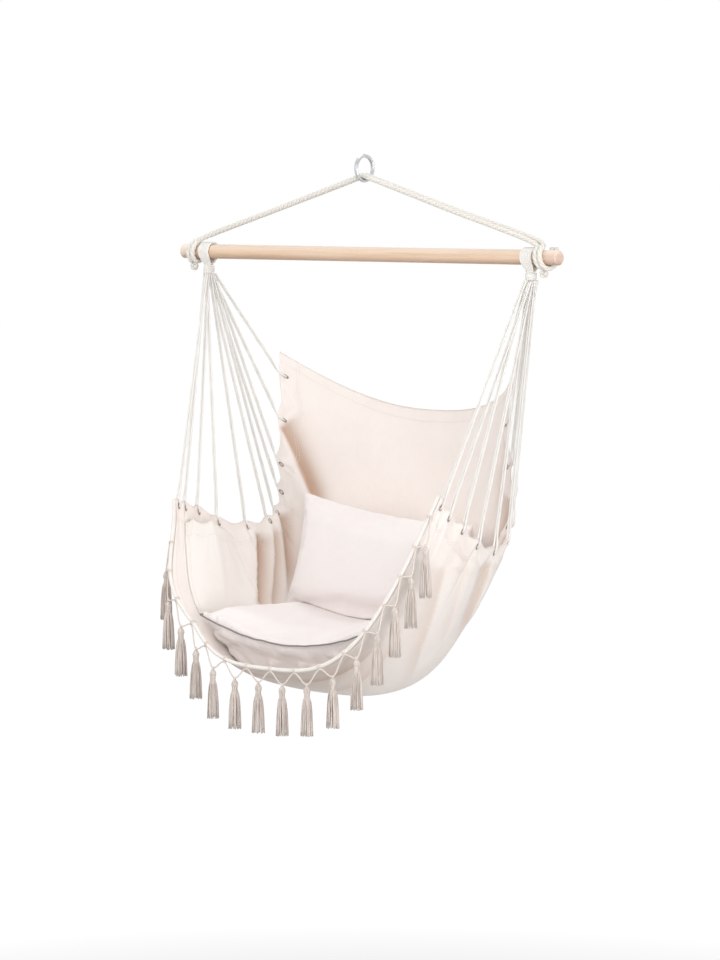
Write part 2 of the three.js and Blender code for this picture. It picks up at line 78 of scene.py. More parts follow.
STOPS = [0.035, 0.11, 0.19, 0.29, 0.4, 0.5, 0.58, 0.69, 0.79, 0.89, 0.965]  # the slits' stations

# The canvas, in millimetres and, for its lines at eleven even stations, shares of HALF_WIDTH, DEPTH and DROP
HALF_WIDTH = 340
DEPTH = 320
DROP = 850
SETBACK = 56.4
CANVAS_THICKNESS = 2
HEM_CROWDING = 0.5  # share by which t crowds towards the hem
SWELL = 15
SWELL_START = 0.6  # share of the way to the hem
SWELL_END = 0.25  # station
SCALLOP_OUT = 4
SCALLOP_DROP = 7
SCALLOP_POWER = 8  # the higher, the closer the scallops stay to the hem
FLOOR_END = 0.62  # station
WALL_START = 0.4  # station
MIDDLE_Y = [-1.009, -0.82, -0.563, -0.297, -0.031, 0.125, 0.266, 0.344, 0.39, 0.431, 0.469]
MIDDLE_Z = [-0.921, -0.958, -0.986, -1, -0.992, -0.959, -0.9, -0.812, -0.694, -0.541, -0.364]
HEM_X = [1, 1.006, 1.009, 0.99, 0.947, 0.918, 0.906, 0.9, 0.888, 0.874, 0.882]
HEM_Y = [-0.712, -0.64, -0.5, -0.344, -0.156, 0, 0.063, 0.084, 0.063, 0.063, 0.088]
HEM_Z = [-0.541, -0.56, -0.587, -0.62, -0.635, -0.624, -0.588, -0.535, -0.465, -0.365, -0.25]
LEAN_Z = [0.024, 0.012, 0, -0.004, -0.006, -0.005, 0.006, 0.012, 0.014, 0.008, -0.016]
HOLLOW = [3.3, 3.3, 3, 2.7, 2.3, 1.8, 1.65, 1.7, 1.9, 2.2, 2.4]  # powers of the rise to the hem

# The front edge, pocket and cushions, in millimetres unless the comment says otherwise
EDGE_ROPE_RADIUS = 4
FRINGE_RADIUS = 1.6
TASSEL_COUNT = 15  # tassels
TASSEL_SPACING = 62
TASSEL_LEAD = 0.4  # share of a spacing
TASSEL_LENGTH = 96
FRINGE_DROP = 22
FRINGE_OUT = 7
POCKET_GAPE = 20
POCKET_REST = 2.5
POCKET_SWELL = 0.7  # power of the rise to the gape
POCKET_V = (0.075, 0.33)  # stations
POCKET_T = (0.6, 0.93)  # from its foot to its mouth, shares of the way to the left hem
PIPING_RADIUS = 2.6
PIPING_CORD = 1.6
PIPING_INSET = 1.2
PIPING_OUT = PIPING_RADIUS + 8 * CLEARANCE - PIPING_INSET
CUSHION_WIDTH = 437
CUSHION_DEPTH = 400
CUSHION_FRONT = 282
CUSHION_DROP = 741
CUSHION_SAG = 44
CUSHION_TILT = 5
CUSHION_WAIST = 9
CUSHION_ROUNDING = (84, 52)  # how far in from the seam its front and its rear round off
CUSHION_REST = 3.2
WALL_ROOM = 25
CUSHION_MIDDLE_Y = SETBACK - CUSHION_FRONT + CUSHION_DEPTH / 2
PILLOW_WIDTH = 450
PILLOW_HEIGHT = 230
PILLOW_WAIST = 14
PILLOW_SAG = 12
PILLOW_SLUMP = 0.1  # share of x
PILLOW_FORWARD = 46
PILLOW_DROP = 700.5
PILLOW_FOOT = np.array([0, SETBACK - PILLOW_FORWARD, BAR_Z - PILLOW_DROP])
PILLOW_LEAN = 0.245  # share of its height
PILLOW_RISE = math.sqrt(1 - PILLOW_LEAN**2)

# Looks of the cloth and thread, in millimetres unless the comment says otherwise
HEM_THICKENING = 0.8
HEM_BAND = 46
FRONT_BAND = 16
TOP_BAND = 14
HEM_ROWS = (HEM_BAND - 2, HEM_BAND - 7)
EDGE_ROWS = (0.9844, 0.0192)  # stations
STITCH_GAP = 2.2
PUFF_HEIGHT = 2.6
TUG_DEPTH = 0.9
RIPPLE_HEIGHT = 0.5
STATION_RUN = 950  # canvas length that one whole run of stations stands for
POCKET_CELLS = 48  # cells a side
POCKET_SEAMS = (2, 3)  # cells inside the edges
POCKET_HEM = 41  # cells up
TASSEL_STRANDS = 46  # strands a tassel
TASSEL_REACH = 12
TASSEL_NECK = 17
SEAM_HOLD = 22
PUCKER_REACH = 30
PUCKER_DEPTH = 1.4
WRINKLE_DEPTH = 1.8

# Camera fitted to the photograph, in pixels, degrees and millimetres
IMAGE_WIDTH = 720
IMAGE_HEIGHT = 960
VIEW_AZIMUTH = 42
VIEW_DISTANCE = 8160.13
VIEW_FOCAL = 4208.84
VIEW_CENTRE = (364.5, 168)
VIEW_RISE = 167.7


def linked(name, data):
    """A new object of the given data, in the scene."""
    thing = bpy.data.objects.new(name, data)
    bpy.context.scene.collection.objects.link(thing)
    return thing


def make_camera():
    turn = math.radians(VIEW_AZIMUTH)
    forward = Vector((-math.sin(turn), math.cos(turn), 0))
    right = Vector((math.cos(turn), math.sin(turn), 0))
    across = (IMAGE_WIDTH / 2 - VIEW_CENTRE[0]) / VIEW_FOCAL
    down = (IMAGE_HEIGHT / 2 - VIEW_CENTRE[1]) / VIEW_FOCAL
    axis = forward + right * across + Vector((0, 0, -down))
    data = bpy.data.cameras.new("camera")
    data.sensor_fit = "AUTO"
    data.sensor_width = 36
    data.lens = data.sensor_width * VIEW_FOCAL * axis.length / IMAGE_HEIGHT
    data.clip_end = 100
    camera = linked("camera", data)
    camera.location = (-forward * VIEW_DISTANCE + Vector((0, 0, BAR_Z + VIEW_RISE))) * MM
    camera.rotation_euler = axis.to_track_quat("-Z", "Y").to_euler()
    bpy.context.scene.camera = camera


# Materials


class Nodes:
    """The node tree of a material or world, with short calls for the nodes that are used often."""

    def __init__(self, owner):
        owner.use_nodes = True
        self.owner = owner
        self.tree = owner.node_tree

    def put(self, socket, value):
        """Links a socket to another one, or sets it to a number, a vector or a colour."""
        if isinstance(value, bpy.types.NodeSocket):
            self.tree.links.new(value, socket)
        else:
            socket.default_value = (*value, 1) if socket.type == "RGBA" else value

    def add(self, kind, inputs=(), **settings):
        """A node with some inputs, by name or number, and settings."""
        node = self.tree.nodes.new("ShaderNode" + kind)
        for key, value in settings.items():
            setattr(node, key, value)
        for key, value in dict(inputs).items():
            self.put(node.inputs[key], value)
        return node

    def math(self, operation, *values, clamp=False):
        return self.add("Math", enumerate(values), operation=operation, use_clamp=clamp).outputs[0]

    def times(self, a, b, clamp=False):
        return self.math("MULTIPLY", a, b, clamp=clamp)

    def plus(self, a, b, clamp=False):
        return self.math("ADD", a, b, clamp=clamp)

    def coordinate(self, kind):
        return self.add("TexCoord").outputs[kind]

    def split(self, vector):
        return self.add("SeparateXYZ", {0: vector}).outputs

    def noise(self, vector, scale, detail, roughness=0.55):
        inputs = {"Vector": vector, "Scale": scale, "Detail": detail, "Roughness": roughness}
        return self.add("TexNoise", inputs).outputs["Fac"]

    def streaks(self, vector, scale, detail, roughness=0.55):
        """Noise with its own scale on each axis."""
        stretched = self.add("Mapping", {"Vector": vector, "Scale": scale}).outputs[0]
        return self.noise(stretched, 1, detail, roughness)

    def ramp(self, value, *stops):
        """A colour that runs between stops, each a place and a colour."""
        node = self.add("ValToRGB", {0: value})
        for _ in stops[2:]:
            node.color_ramp.elements.new(0.5)
        for element, (position, colour) in zip(node.color_ramp.elements, stops):
            element.position = position
            element.color = (*colour, 1)
        return node.outputs[0]

    def mix(self, share, first, second):
        return self.add("Mix", {0: share, 6: first, 7: second}, data_type="RGBA").outputs[2]

    def bump(self, height, strength, distance, **normal):
        inputs = {"Height": height, "Strength": strength, "Distance": distance, **normal}
        return self.add("Bump", inputs).outputs[0]

    def finish(self, colour, roughness, normal, **fixed):
        shader = self.tree.nodes["Principled BSDF"]
        values = {"Base Color": colour, "Roughness": roughness, "Normal": normal}
        values.update({name.replace("_", " "): value for name, value in fixed.items()})
        for name, value in values.items():
            self.put(shader.inputs[name], value)
        return self.owner


def new_material(name):
    return Nodes(bpy.data.materials.new(name))


def toned(colour, factor):
    return tuple(min(1, factor * c) for c in colour)


def woven(name, base, shade, thread, crumple=0.4, painted_shade_tint=(0.52, 0.33, 0.22)):
    """Plain-weave cloth: warp and weft threads of a pitch in mm, slubs, soft crease bumps and uneven dye,
    with painted shade mixed in where the painted-shade attribute is set.
    """
    n = new_material(name)
    uv = n.coordinate("UV")
    per_metre = TURN / (thread * MM)
    warp, weft = (n.math("SINE", n.times(part, per_metre)) for part in n.split(uv)[:2])
    cross = n.math("MULTIPLY_ADD", n.times(warp, weft), 0.5, 0.5)
    slubs = (n.streaks(uv, scale, 2) for scale in ((1400, 60, 1), (60, 1400, 1)))
    slubs = n.times(n.plus(*slubs), 0.5)
    body = n.coordinate("Object")
    cloudy = n.noise(body, 7, 3)
    crumpled = n.streaks(body, (26, 26, 14), 5, 0.6)
    tone = n.times(cloudy, 0.55)
    tone = n.plus(tone, n.times(slubs, 0.55), clamp=True)
    colour = n.ramp(tone, (0.3, shade), (0.62, base))
    colour = n.mix(n.times(cross, 0.16), colour, toned(shade, 0.86))
    # Painted shade: the per-vertex painted-shade depth, made patchy, darkens the colour towards the painted
    # shade tint
    painted_shade_depth = n.add("Attribute", attribute_name="painted_shade_depth").outputs["Fac"]
    patchy = n.plus(n.times(cloudy, 0.5), 0.6)
    colour = n.mix(n.times(painted_shade_depth, patchy, clamp=True), colour, painted_shade_tint)
    large = n.bump(crumpled, crumple, 0.004)
    threads = n.plus(n.times(cross, 0.7), slubs)
    normal = n.bump(threads, 0.35, 0.0006, Normal=large)
    roughness = n.math("MULTIPLY_ADD", slubs, 0.16, 0.78)
    return n.finish(colour, roughness, normal, Sheen_Weight=0.12, Specular_IOR_Level=0.25)


def twisted(name, base, groove_painted_shade, plies, pitch):
    """Twisted cotton: plies that run round at a pitch in mm, fine fibres along them, soft fuzz, and painted
    shade in the grooves between plies.
    """
    n = new_material(name)
    across, along, _ = n.split(n.coordinate("UV"))
    along = n.math("DIVIDE", along, pitch * MM)
    turn = n.plus(n.times(across, plies), n.times(along, plies))
    wave = n.math("ABSOLUTE", n.math("SINE", n.times(turn, math.pi)))
    fibre = n.math("MULTIPLY_ADD", n.math("SINE", n.times(turn, 5 * TURN)), 0.5, 0.5)
    body = n.coordinate("Object")
    hairs = n.noise(body, 900, 2)
    cloudy = n.noise(body, 16, 3)
    # Painted shade: the colour darkens into the grooves between plies
    colour = n.ramp(n.math("POWER", wave, 0.6), (0.05, groove_painted_shade), (0.6, base))
    colour = n.mix(n.times(cloudy, 0.35), colour, toned(base, 1.05))
    height = n.plus(wave, n.times(n.plus(fibre, hairs), 0.18))
    normal = n.bump(height, 0.55, 0.0012)
    roughness = n.math("MULTIPLY_ADD", hairs, 0.15, 0.8)
    return n.finish(colour, roughness, normal, Sheen_Weight=0.125, Specular_IOR_Level=0.2)


def yarn(name, base, shade):
    """Loose yarn: strands that differ in tone, with fibres along them."""
    n = new_material(name)
    body = n.coordinate("Object")
    strand = n.streaks(body, (420, 420, 26), 2)
    fibre = n.streaks(body, (1800, 1800, 180), 2)
    colour = n.ramp(strand, (0.32, shade), (0.62, base))
    colour = n.mix(n.times(fibre, 0.3), colour, toned(shade, 0.8))
    normal = n.bump(fibre, 0.5, 0.0008)
    roughness = n.math("MULTIPLY_ADD", fibre, 0.12, 0.82)
    return n.finish(colour, roughness, normal, Sheen_Weight=0.15, Specular_IOR_Level=0.2)


def dowel_wood():
    """Pale turned hardwood: long grain, short pores, growth rings on the ends, a satin finish, tinted towards
    both ends, with painted shade along the underside and a painted highlight along the top.
    """
    n = new_material("dowel_wood")
    ring_centre = (BAR_Z - 22) * MM
    softness = 90
    tints = (
        # axis, direction, where the tint begins in mm, its share and its colour: both ends, painted shade
        # along the underside, painted highlight along the top
        (0, 1, BAR_LENGTH / 2 - 30, 0.6, (0.72, 0.55, 0.5)),
        (0, -1, BAR_LENGTH / 2 - 30, 0.6, (0.84, 0.76, 0.69)),
        (2, -1, 2.5 - BAR_Z, 0.66, (0.42, 0.27, 0.19)),
        (2, 1, 2.5 + BAR_Z, 0.5, (0.95, 0.87, 0.8)),
    )
    body = n.coordinate("Object")
    grain = n.streaks(body, (3.2, 70, 70), 6, 0.62)
    parts = n.split(body)
    height = n.plus(parts[2], -ring_centre)
    squares = n.math("POWER", parts[1], 2), n.math("POWER", height, 2)
    radius = n.math("SQRT", n.plus(*squares))
    rings = n.math("SINE", n.plus(n.times(radius, 2600), n.times(grain, 9)))
    pores = n.math("GREATER_THAN", n.streaks(body, (60, 1500, 1500), 2), 0.66)
    colour = n.ramp(grain, (0.3, (0.66, 0.46, 0.31)), (0.52, (0.8, 0.6, 0.44)), (0.72, (0.86, 0.69, 0.55)))
    colour = n.mix(n.times(n.plus(rings, 1), 0.09), colour, (0.55, 0.35, 0.22))
    colour = n.mix(n.times(pores, 0.22), colour, (0.42, 0.26, 0.16))
    for axis, direction, start, share, tint in tints:
        past = n.math("MULTIPLY_ADD", parts[axis], direction * softness, -start * MM * softness, clamp=True)
        colour = n.mix(n.times(past, share), colour, tint)
    normal = n.bump(n.math("SUBTRACT", grain, n.times(pores, 0.4)), 0.25, 0.0006)
    roughness = n.math("MULTIPLY_ADD", grain, 0.22, 0.4)
    return n.finish(colour, roughness, normal, Specular_IOR_Level=0.4)


def ring_steel():
    """Brushed steel: fine scratches and faint smudges."""
    n = new_material("ring_steel")
    body = n.coordinate("Object")
    scratches = n.streaks(body, (2400, 160, 160), 3)
    smudges = n.noise(body, 60, 3)
    colour = n.ramp(smudges, (0.3, (0.5, 0.51, 0.53)), (0.7, (0.66, 0.67, 0.69)))
    roughness = n.math("MULTIPLY_ADD", smudges, 0.25, 0.18)
    return n.finish(colour, roughness, n.bump(scratches, 0.2, 0.0003), Metallic=1.0)


CANVAS = woven("canvas_cloth", (0.94, 0.88, 0.843), (0.88, 0.79, 0.732), thread=1.3)
POCKET_CLOTH = woven("pocket_cloth", (0.95, 0.91, 0.875), (0.9, 0.835, 0.785), thread=1.3)
UPHOLSTERY = woven(
    "cushion_cloth",
    (0.92, 0.865, 0.85),
    (0.865, 0.8, 0.785),
    thread=0.8,
    crumple=0.3,
    painted_shade_tint=(0.42, 0.37, 0.36),
)
THREAD = yarn("sewing_thread", (0.9, 0.84, 0.78), (0.78, 0.7, 0.63))
# Painted shadow: dark brown thread standing for the shadow inside the slits
EYELET_THREAD_PAINTED_SHADOW = yarn("eyelet_thread_painted_shadow", (0.4, 0.3, 0.24), (0.22, 0.15, 0.11))
TASSEL_YARN = yarn("tassel_yarn", (0.84, 0.76, 0.71), (0.6, 0.525, 0.475))
ROPE = twisted("rope_cotton", (0.83, 0.805, 0.755), (0.6, 0.55, 0.48), plies=3, pitch=ROPE_LAY)
CORD = twisted("cord_cotton", (0.95, 0.93, 0.9), (0.7, 0.65, 0.6), plies=3, pitch=12)
EDGE_ROPE = twisted("edge_cotton", (0.94, 0.9, 0.86), (0.72, 0.64, 0.58), plies=4, pitch=22)
TAUPE_CORD = twisted("fringe_cotton", (0.86, 0.78, 0.72), (0.57, 0.5, 0.44), plies=2, pitch=9)
# Painted shadow: the piping cord is dark charcoal, standing for the shadow line along the cushion's seam
PIPING_PAINTED_SHADOW = twisted("piping_cord_painted_shadow", (0.3, 0.26, 0.25), (0.14, 0.12, 0.12), plies=3, pitch=10)


# Lines


def catmull(points, share):
    """Points of a centripetal Catmull-Rom curve through the given points, at shares of their count."""
    p = np.asarray(points, float)
    ends = np.vstack([2 * p[0] - p[1], p, 2 * p[-1] - p[-2]])
    at = np.clip(np.asarray(share, float), 0, 1) * (len(p) - 1)
    i = np.minimum(at.astype(int), len(p) - 2)
    w = (at - i)[..., None]
    p0, p1, p2, p3 = ends[i], ends[i + 1], ends[i + 2], ends[i + 3]

    def knot(a, b):
        return np.maximum(np.sum((a - b) ** 2, axis=-1, keepdims=True), 1e-12) ** 0.25

    d0, d1, d2 = knot(p0, p1), knot(p1, p2), knot(p2, p3)
    m1 = ((p1 - p0) / d0 - (p2 - p0) / (d0 + d1) + (p2 - p1) / d1) * d1
    m2 = ((p2 - p1) / d1 - (p3 - p1) / (d1 + d2) + (p3 - p2) / d2) * d1
    return p1 + m1 * w + (-3 * p1 + 3 * p2 - 2 * m1 - m2) * w**2 + (2 * p1 - 2 * p2 + m1 + m2) * w**3


def curve(points, steps):
    return catmull(points, np.linspace(0, 1, steps + 1))


def unit(v):
    v = np.asarray(v, float)
    return v / np.maximum(np.linalg.norm(v, axis=-1, keepdims=True), 1e-12)


def run_of(points, axis=0):
    """How far along its line each point lies from the first."""
    steps = np.diff(points, axis=axis, prepend=np.take(points, [0], axis))
    return np.cumsum(np.linalg.norm(steps, axis=-1), axis=axis)


def read_at(distance, run, values):
    """The values of a line's points, read at distances along it."""
    return np.stack([np.interp(distance, run, values[:, k]) for k in range(3)], axis=-1)


def even_curve(points, steps, spacing):
    """A curve through the points, with its own points a set distance apart, in mm."""
    line = curve(points, steps)
    run = run_of(line)
    count = max(2, int(round(run[-1] / spacing)) + 1)
    return read_at(np.linspace(0, run[-1], count), run, line)


def nearest(points, line):
    """Each point's distance from the nearest point of a line, and that point's number."""
    best = np.full(len(points), np.inf)
    which = np.zeros(len(points), int)
    for k, spot in enumerate(line):
        gap = np.linalg.norm(points - spot, axis=-1)
        closer = gap < best
        best[closer] = gap[closer]
        which[closer] = k
    return best, which


def smooth(low, high, x):
    w = np.clip((x - low) / (high - low), 0, 1)
    return w * w * (3 - 2 * w)


def cross_directions(points):
    """Two directions across a line at each point, that don't spin along it."""
    tangent = unit(np.gradient(points, axis=0))
    side = np.zeros_like(points)
    direction = np.array((0.31, 0.17, 0.93))
    for i, along in enumerate(tangent):
        direction = unit(direction - along * np.dot(direction, along))
        side[i] = direction
    return side, np.cross(tangent, side)


# Shapes


class Shape:
    """Vertices in mm, faces and UVs in metres, gathered into one mesh."""

    def __init__(self):
        self.points, self.faces, self.uvs, self.count = [], [], [], 0

    def add(self, points, faces, uvs):
        self.points.append(points)
        self.faces += [[i + self.count for i in face] for face in faces]
        self.uvs += uvs
        self.count += len(points)

    def rings(self, points, heights, capped):
        """Faces between rings of points, shape (rings, sides, 3). UV: once round, and up by the heights."""
        sides = points.shape[1]
        heights = np.asarray(heights) * MM
        faces, uvs = [], []
        for i in range(len(heights) - 1):
            low, high = heights[i], heights[i + 1]
            for j in range(sides):
                k = (j + 1) % sides
                faces.append([i * sides + j, i * sides + k, (i + 1) * sides + k, (i + 1) * sides + j])
                a, b = j / sides, (j + 1) / sides
                uvs.append([(a, low), (b, low), (b, high), (a, high)])
        if capped:
            around = list(range(sides))
            last = (len(heights) - 1) * sides
            faces += [around[::-1], [last + j for j in around]]
            uvs += [[(j / sides, 0) for j in around[::-1]], [(j / sides, heights[-1]) for j in around]]
        self.add(points.reshape(-1, 3), faces, uvs)

    def tube(self, line, radius, sides, plies=0, pitch=1.0, depth=0.0, capped=True):
        """A tube along a line; plies gives it that many twisted lobes."""
        line = np.asarray(line, float)
        run = run_of(line)
        angle = np.linspace(0, TURN, sides, endpoint=False)
        lobes = plies * (angle / 2 + math.pi * run[:, None] / pitch)
        reach = radius * (1 - depth * (1 - np.abs(np.sin(lobes))) ** 1.5)
        side, up = cross_directions(line)
        across = (reach * np.cos(angle))[..., None] * side[:, None]
        upward = (reach * np.sin(angle))[..., None] * up[:, None]
        self.rings(line[:, None] + across + upward, run, capped)

    def lathe(self, outline, centre, sides, stretch):
        """A turned form from (radius, height) pairs, stretched along y."""
        angle = np.linspace(0, TURN, sides, endpoint=False)
        rings = [
            np.stack([r * np.cos(angle), r * np.sin(angle) * stretch, np.full(sides, h)], axis=1)
            for r, h in outline
        ]
        self.rings(np.array(rings) + np.array(centre), [h for _, h in outline], False)

    def sheet(self, grid, uv, flip):
        """A grid of points with a grid of UVs."""
        rows, columns = grid.shape[:2]
        faces, uvs = [], []
        for i in range(rows - 1):
            for j in range(columns - 1):
                loop = [(i, j), (i + 1, j), (i + 1, j + 1), (i, j + 1)]
                if flip:
                    loop.reverse()
                faces.append([a * columns + b for a, b in loop])
                uvs.append([tuple(uv[a, b]) for a, b in loop])
        self.add(grid.reshape(-1, 3), faces, uvs)

    def cloth(self, first, second, uv, flip):
        """Two layers with a wall round their rim, in an empty shape. The first layer can be turned over."""
        self.sheet(first, uv, flip)
        self.sheet(second, uv, not flip)
        rows, columns = uv.shape[0] - 1, uv.shape[1] - 1
        count = (rows + 1) * (columns + 1)
        rim = [(0, j) for j in range(columns)] + [(i, columns) for i in range(rows)]
        rim += [(rows, j) for j in range(columns, 0, -1)] + [(i, 0) for i in range(rows, 0, -1)]
        for (i, j), (a, b) in zip(rim, rim[1:] + rim[:1]):
            p, q = i * (columns + 1) + j, a * (columns + 1) + b
            wall = [p, q, q + count, p + count]
            uvs = [tuple(uv[i, j]), tuple(uv[a, b]), tuple(uv[a, b]), tuple(uv[i, j])]
            if not flip:
                wall[1:] = wall[:0:-1]
                uvs[1:] = uvs[:0:-1]
            self.faces.append(wall)
            self.uvs.append(uvs)

    def piece(self, name, material):
        mesh = bpy.data.meshes.new(name)
        mesh.from_pydata((np.concatenate(self.points) * MM).tolist(), [], self.faces)
        layer = mesh.uv_layers.new(name="UVMap")
        layer.data.foreach_set("uv", [x for face in self.uvs for uv in face for x in uv])
        mesh.polygons.foreach_set("use_smooth", [True] * len(mesh.polygons))
        mesh.materials.append(material)
        mesh.update()
        return linked(name, mesh)


def cord_piece(name, material, line, radius, **lay):
    """A piece that is one cord along a line."""
    shape = Shape()
    shape.tube(line, radius, **lay)
    return shape.piece(name, material)


def place(piece, body, slot, *nodes):
    """Rides a piece on a CAD body in the place of any CAD nodes that it stands for; the slot is not used."""
    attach(piece, body)
    if nodes:
        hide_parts(*nodes)
    return piece


def set_painted_shade(piece, values):
    """How deep the painted shade lies at each vertex, for the cloth materials."""
    layer = piece.data.attributes.new("painted_shade_depth", "FLOAT", "POINT")
    layer.data.foreach_set("value", values)


# The canvas surface: t runs from the left hem, -1, to the right, 1, and v from the front, 0, to the top, 1

MIDDLE_POINTS = [(0, SETBACK + y * DEPTH, BAR_Z + z * DROP) for y, z in zip(MIDDLE_Y, MIDDLE_Z)]
HEM_POINTS = {
    side: [
        (side * x * HALF_WIDTH, SETBACK + y * DEPTH, BAR_Z + (z + side * lean) * DROP)
        for x, y, z, lean in zip(HEM_X, HEM_Y, HEM_Z, LEAN_Z)
    ]
    for side, _ in SIDES
}


def cord_place(v):
    return np.interp(v, STOPS, np.arange(len(STOPS)))


def canvas_at(t, x_share, v):
    """The surface at a share of the hem's x, on the side that t lies on."""
    t, x_share, v = np.broadcast_arrays(np.asarray(t, float), x_share, v)
    hollow = np.interp(np.clip(v, 0, 1) * (len(HOLLOW) - 1), np.arange(len(HOLLOW)), HOLLOW)
    reach = x_share**hollow
    left = t < 0
    hem = np.where(left[..., None], catmull(HEM_POINTS[-1], v), catmull(HEM_POINTS[1], v))
    middle = catmull(MIDDLE_POINTS, v)
    pulled = np.cos(TURN * cord_place(v))
    edge = x_share**SCALLOP_POWER
    side = np.where(left, -1.0, 1.0)
    start = np.maximum(x_share - SWELL_START, 0) / (1 - SWELL_START)
    fade = np.maximum(1 - v / SWELL_END, 0) ** 2
    swell = np.where(left, SWELL * fade * np.sin(math.pi * start) ** 2, 0)
    x = hem[..., 0] * x_share + side * SCALLOP_OUT * edge * pulled - swell
    y = middle[..., 1] + (hem[..., 1] - middle[..., 1]) * reach - swell
    z = middle[..., 2] + (hem[..., 2] - middle[..., 2]) * reach + SCALLOP_DROP / 2 * edge * (pulled - 1)
    return np.stack([x, y, z], axis=-1)


def canvas_point(t, v):
    across = np.abs(t)
    return canvas_at(t, across * (1 + HEM_CROWDING * (1 - across)), v)


def canvas_normal(t, v):
    t, v = np.broadcast_arrays(np.asarray(t, float), np.asarray(v, float))
    step = 1e-3
    along_t = canvas_point(np.minimum(t + step, 1), v) - canvas_point(np.maximum(t - step, -1), v)
    along_v = canvas_point(t, np.minimum(v + step, 1)) - canvas_point(t, np.maximum(v - step, 0))
    return unit(np.cross(along_v, along_t))


PUFFS = [0.8, 1.2, 0.9, 1.3, 1.0, 0.8, 1.25, 0.9, 1.1, 0.85, 1.0, 0.9]
LONG_FOLD = [(0.99, 0.875), (0.945, 0.868), (0.855, 0.843), (0.74, 0.805), (0.645, 0.76), (0.52, 0.7)]
FOLDS = [
    # side, places as (across, station), height, sharpness and reach in mm, then its painted shade's depth and
    # width
    (-1, [(0.965, 0.435), (0.8, 0.375), (0.62, 0.305), (0.5, 0.262)], 9, 4, 34, 1.0, 24),
    (-1, [(0.93, 0.505), (0.8, 0.45), (0.66, 0.375), (0.54, 0.32)], 3.5, 6, 20, 0.7, 16),
    (-1, [(0.95, 0.59), (0.86, 0.54), (0.74, 0.478), (0.6, 0.41)], 6, 5, 26, 0.9, 20),
    (-1, LONG_FOLD, 9, 5, 40, 1.0, 26),
    (-1, [(0.9, 0.945), (0.72, 0.93), (0.5, 0.9)], 1.5, 12, 40, 0, 1),
    (-1, [(0.93, 0.24), (0.75, 0.215), (0.62, 0.19)], 2.2, 8, 30, 0.12, 14),
    (1, [(0.95, 0.385), (0.82, 0.404), (0.63, 0.405), (0.47, 0.41)], 7, 9, 40, 0.5, 26),
    (1, [(0.86, 0.165), (0.775, 0.182), (0.555, 0.225), (0.275, 0.315)], 4.5, 12, 44, 0.34, 26),
    (1, [(0.9, 0.165), (0.905, 0.233), (0.9, 0.3)], 1.8, 4, 12, 0.3, 5),
    (1, [(0.86, 0.2), (0.865, 0.25), (0.855, 0.31)], -1.4, 4, 11, 0.2, 5),
    (1, [(0.93, 0.27), (0.75, 0.285), (0.5, 0.33)], 3, 9, 34, 0.16, 18),
    (1, [(0.97, 0.56), (0.8, 0.53), (0.62, 0.5)], -5, 7, 30, 0.8, 26),
    (1, [(0.98, 0.67), (0.85, 0.64), (0.6, 0.57)], 5, 7, 34, 0.9, 32),
    (1, [(0.98, 0.84), (0.84, 0.8), (0.66, 0.74)], 5, 8, 34, 0.7, 28),
    (1, [(0.03, 0.075), (0.3, 0.06), (0.6, 0.075)], 2, 8, 20, 0.4, 13),
    (1, [(0.1, 0.16), (0.4, 0.13), (0.7, 0.12)], 2, 8, 20, 0.25, 16),
    (-1, [(0.0, 0.07), (0.25, 0.055), (0.5, 0.05)], 2, 8, 20, 0.35, 12),
    (-1, [(0.3, 0.7), (0.1, 0.74)], 1.5, 14, 40, 0, 1),
    (1, [(0.3, 0.76), (0.12, 0.72)], 1.5, 14, 40, 0, 1),
]
# Limits of a tension ridge's shift from its cord, its drift, height and width in mm, and its inner end
PULL_LIMITS = ((-0.006, 0.006), (-0.32, 0.32), (-1.7, 1.9), (3.5, 7.5), (0.7, 0.88))
PULLS_PER_CORD = 4


def pulls():
    """Short tension ridges that run inward from each cord."""
    rng = random.Random(7)
    return [
        (side, stop, *(rng.uniform(*limits) for limits in PULL_LIMITS))
        for side, _ in SIDES
        for stop in STOPS
        for _ in range(PULLS_PER_CORD)
    ]


PULLS = pulls()


def fold_fields(t, v):
    """How far the folds push the cloth outward, and how deep their painted shade lies on its inner and outer
    faces.

    Each fold steps from one face to the other across its line and dies away beside it and at its ends.
    """
    out, inside, outside = np.zeros(t.shape), np.zeros(t.shape), np.zeros(t.shape)
    here = canvas_point(t, v)
    for side, places, height, sharp, reach, depth, width in FOLDS:
        spots = np.array(places)
        near = (side * t > 0.02) & (v > spots[:, 1].min() - 0.16) & (v < spots[:, 1].max() + 0.16)
        if not near.any():
            continue
        finer = np.linspace(0, len(spots) - 1, 12 * len(spots))
        across, station = (np.interp(finer, np.arange(len(spots)), spots[:, k]) for k in (0, 1))
        gap, which = nearest(here[near], canvas_point(side * across, station))
        order = np.argsort(across)
        if abs(across[-1] - across[0]) > 0.1:
            behind = np.sign(v[near] - np.interp(side * t[near], across[order], station[order]))
        else:
            behind = np.sign(across[which] - side * t[near])
        share = which / (len(finer) - 1)
        fade = smooth(0, 0.16, share) * smooth(0, 0.35, 1 - share)
        out[near] += height * fade * np.tanh(gap * behind / sharp) * np.exp(-((gap / reach) ** 2))
        raised = behind * np.sign(height)
        # Painted shade beside each fold: wide on its shaded side, narrow on the other
        for field, sign in ((inside, 1), (outside, -1)):
            fold_painted_shade = depth * fade * np.exp(-((gap / np.where(raised * sign > 0, width, 0.16 * width)) ** 2))
            field[near] = np.maximum(field[near], fold_painted_shade)
    return out, inside, outside


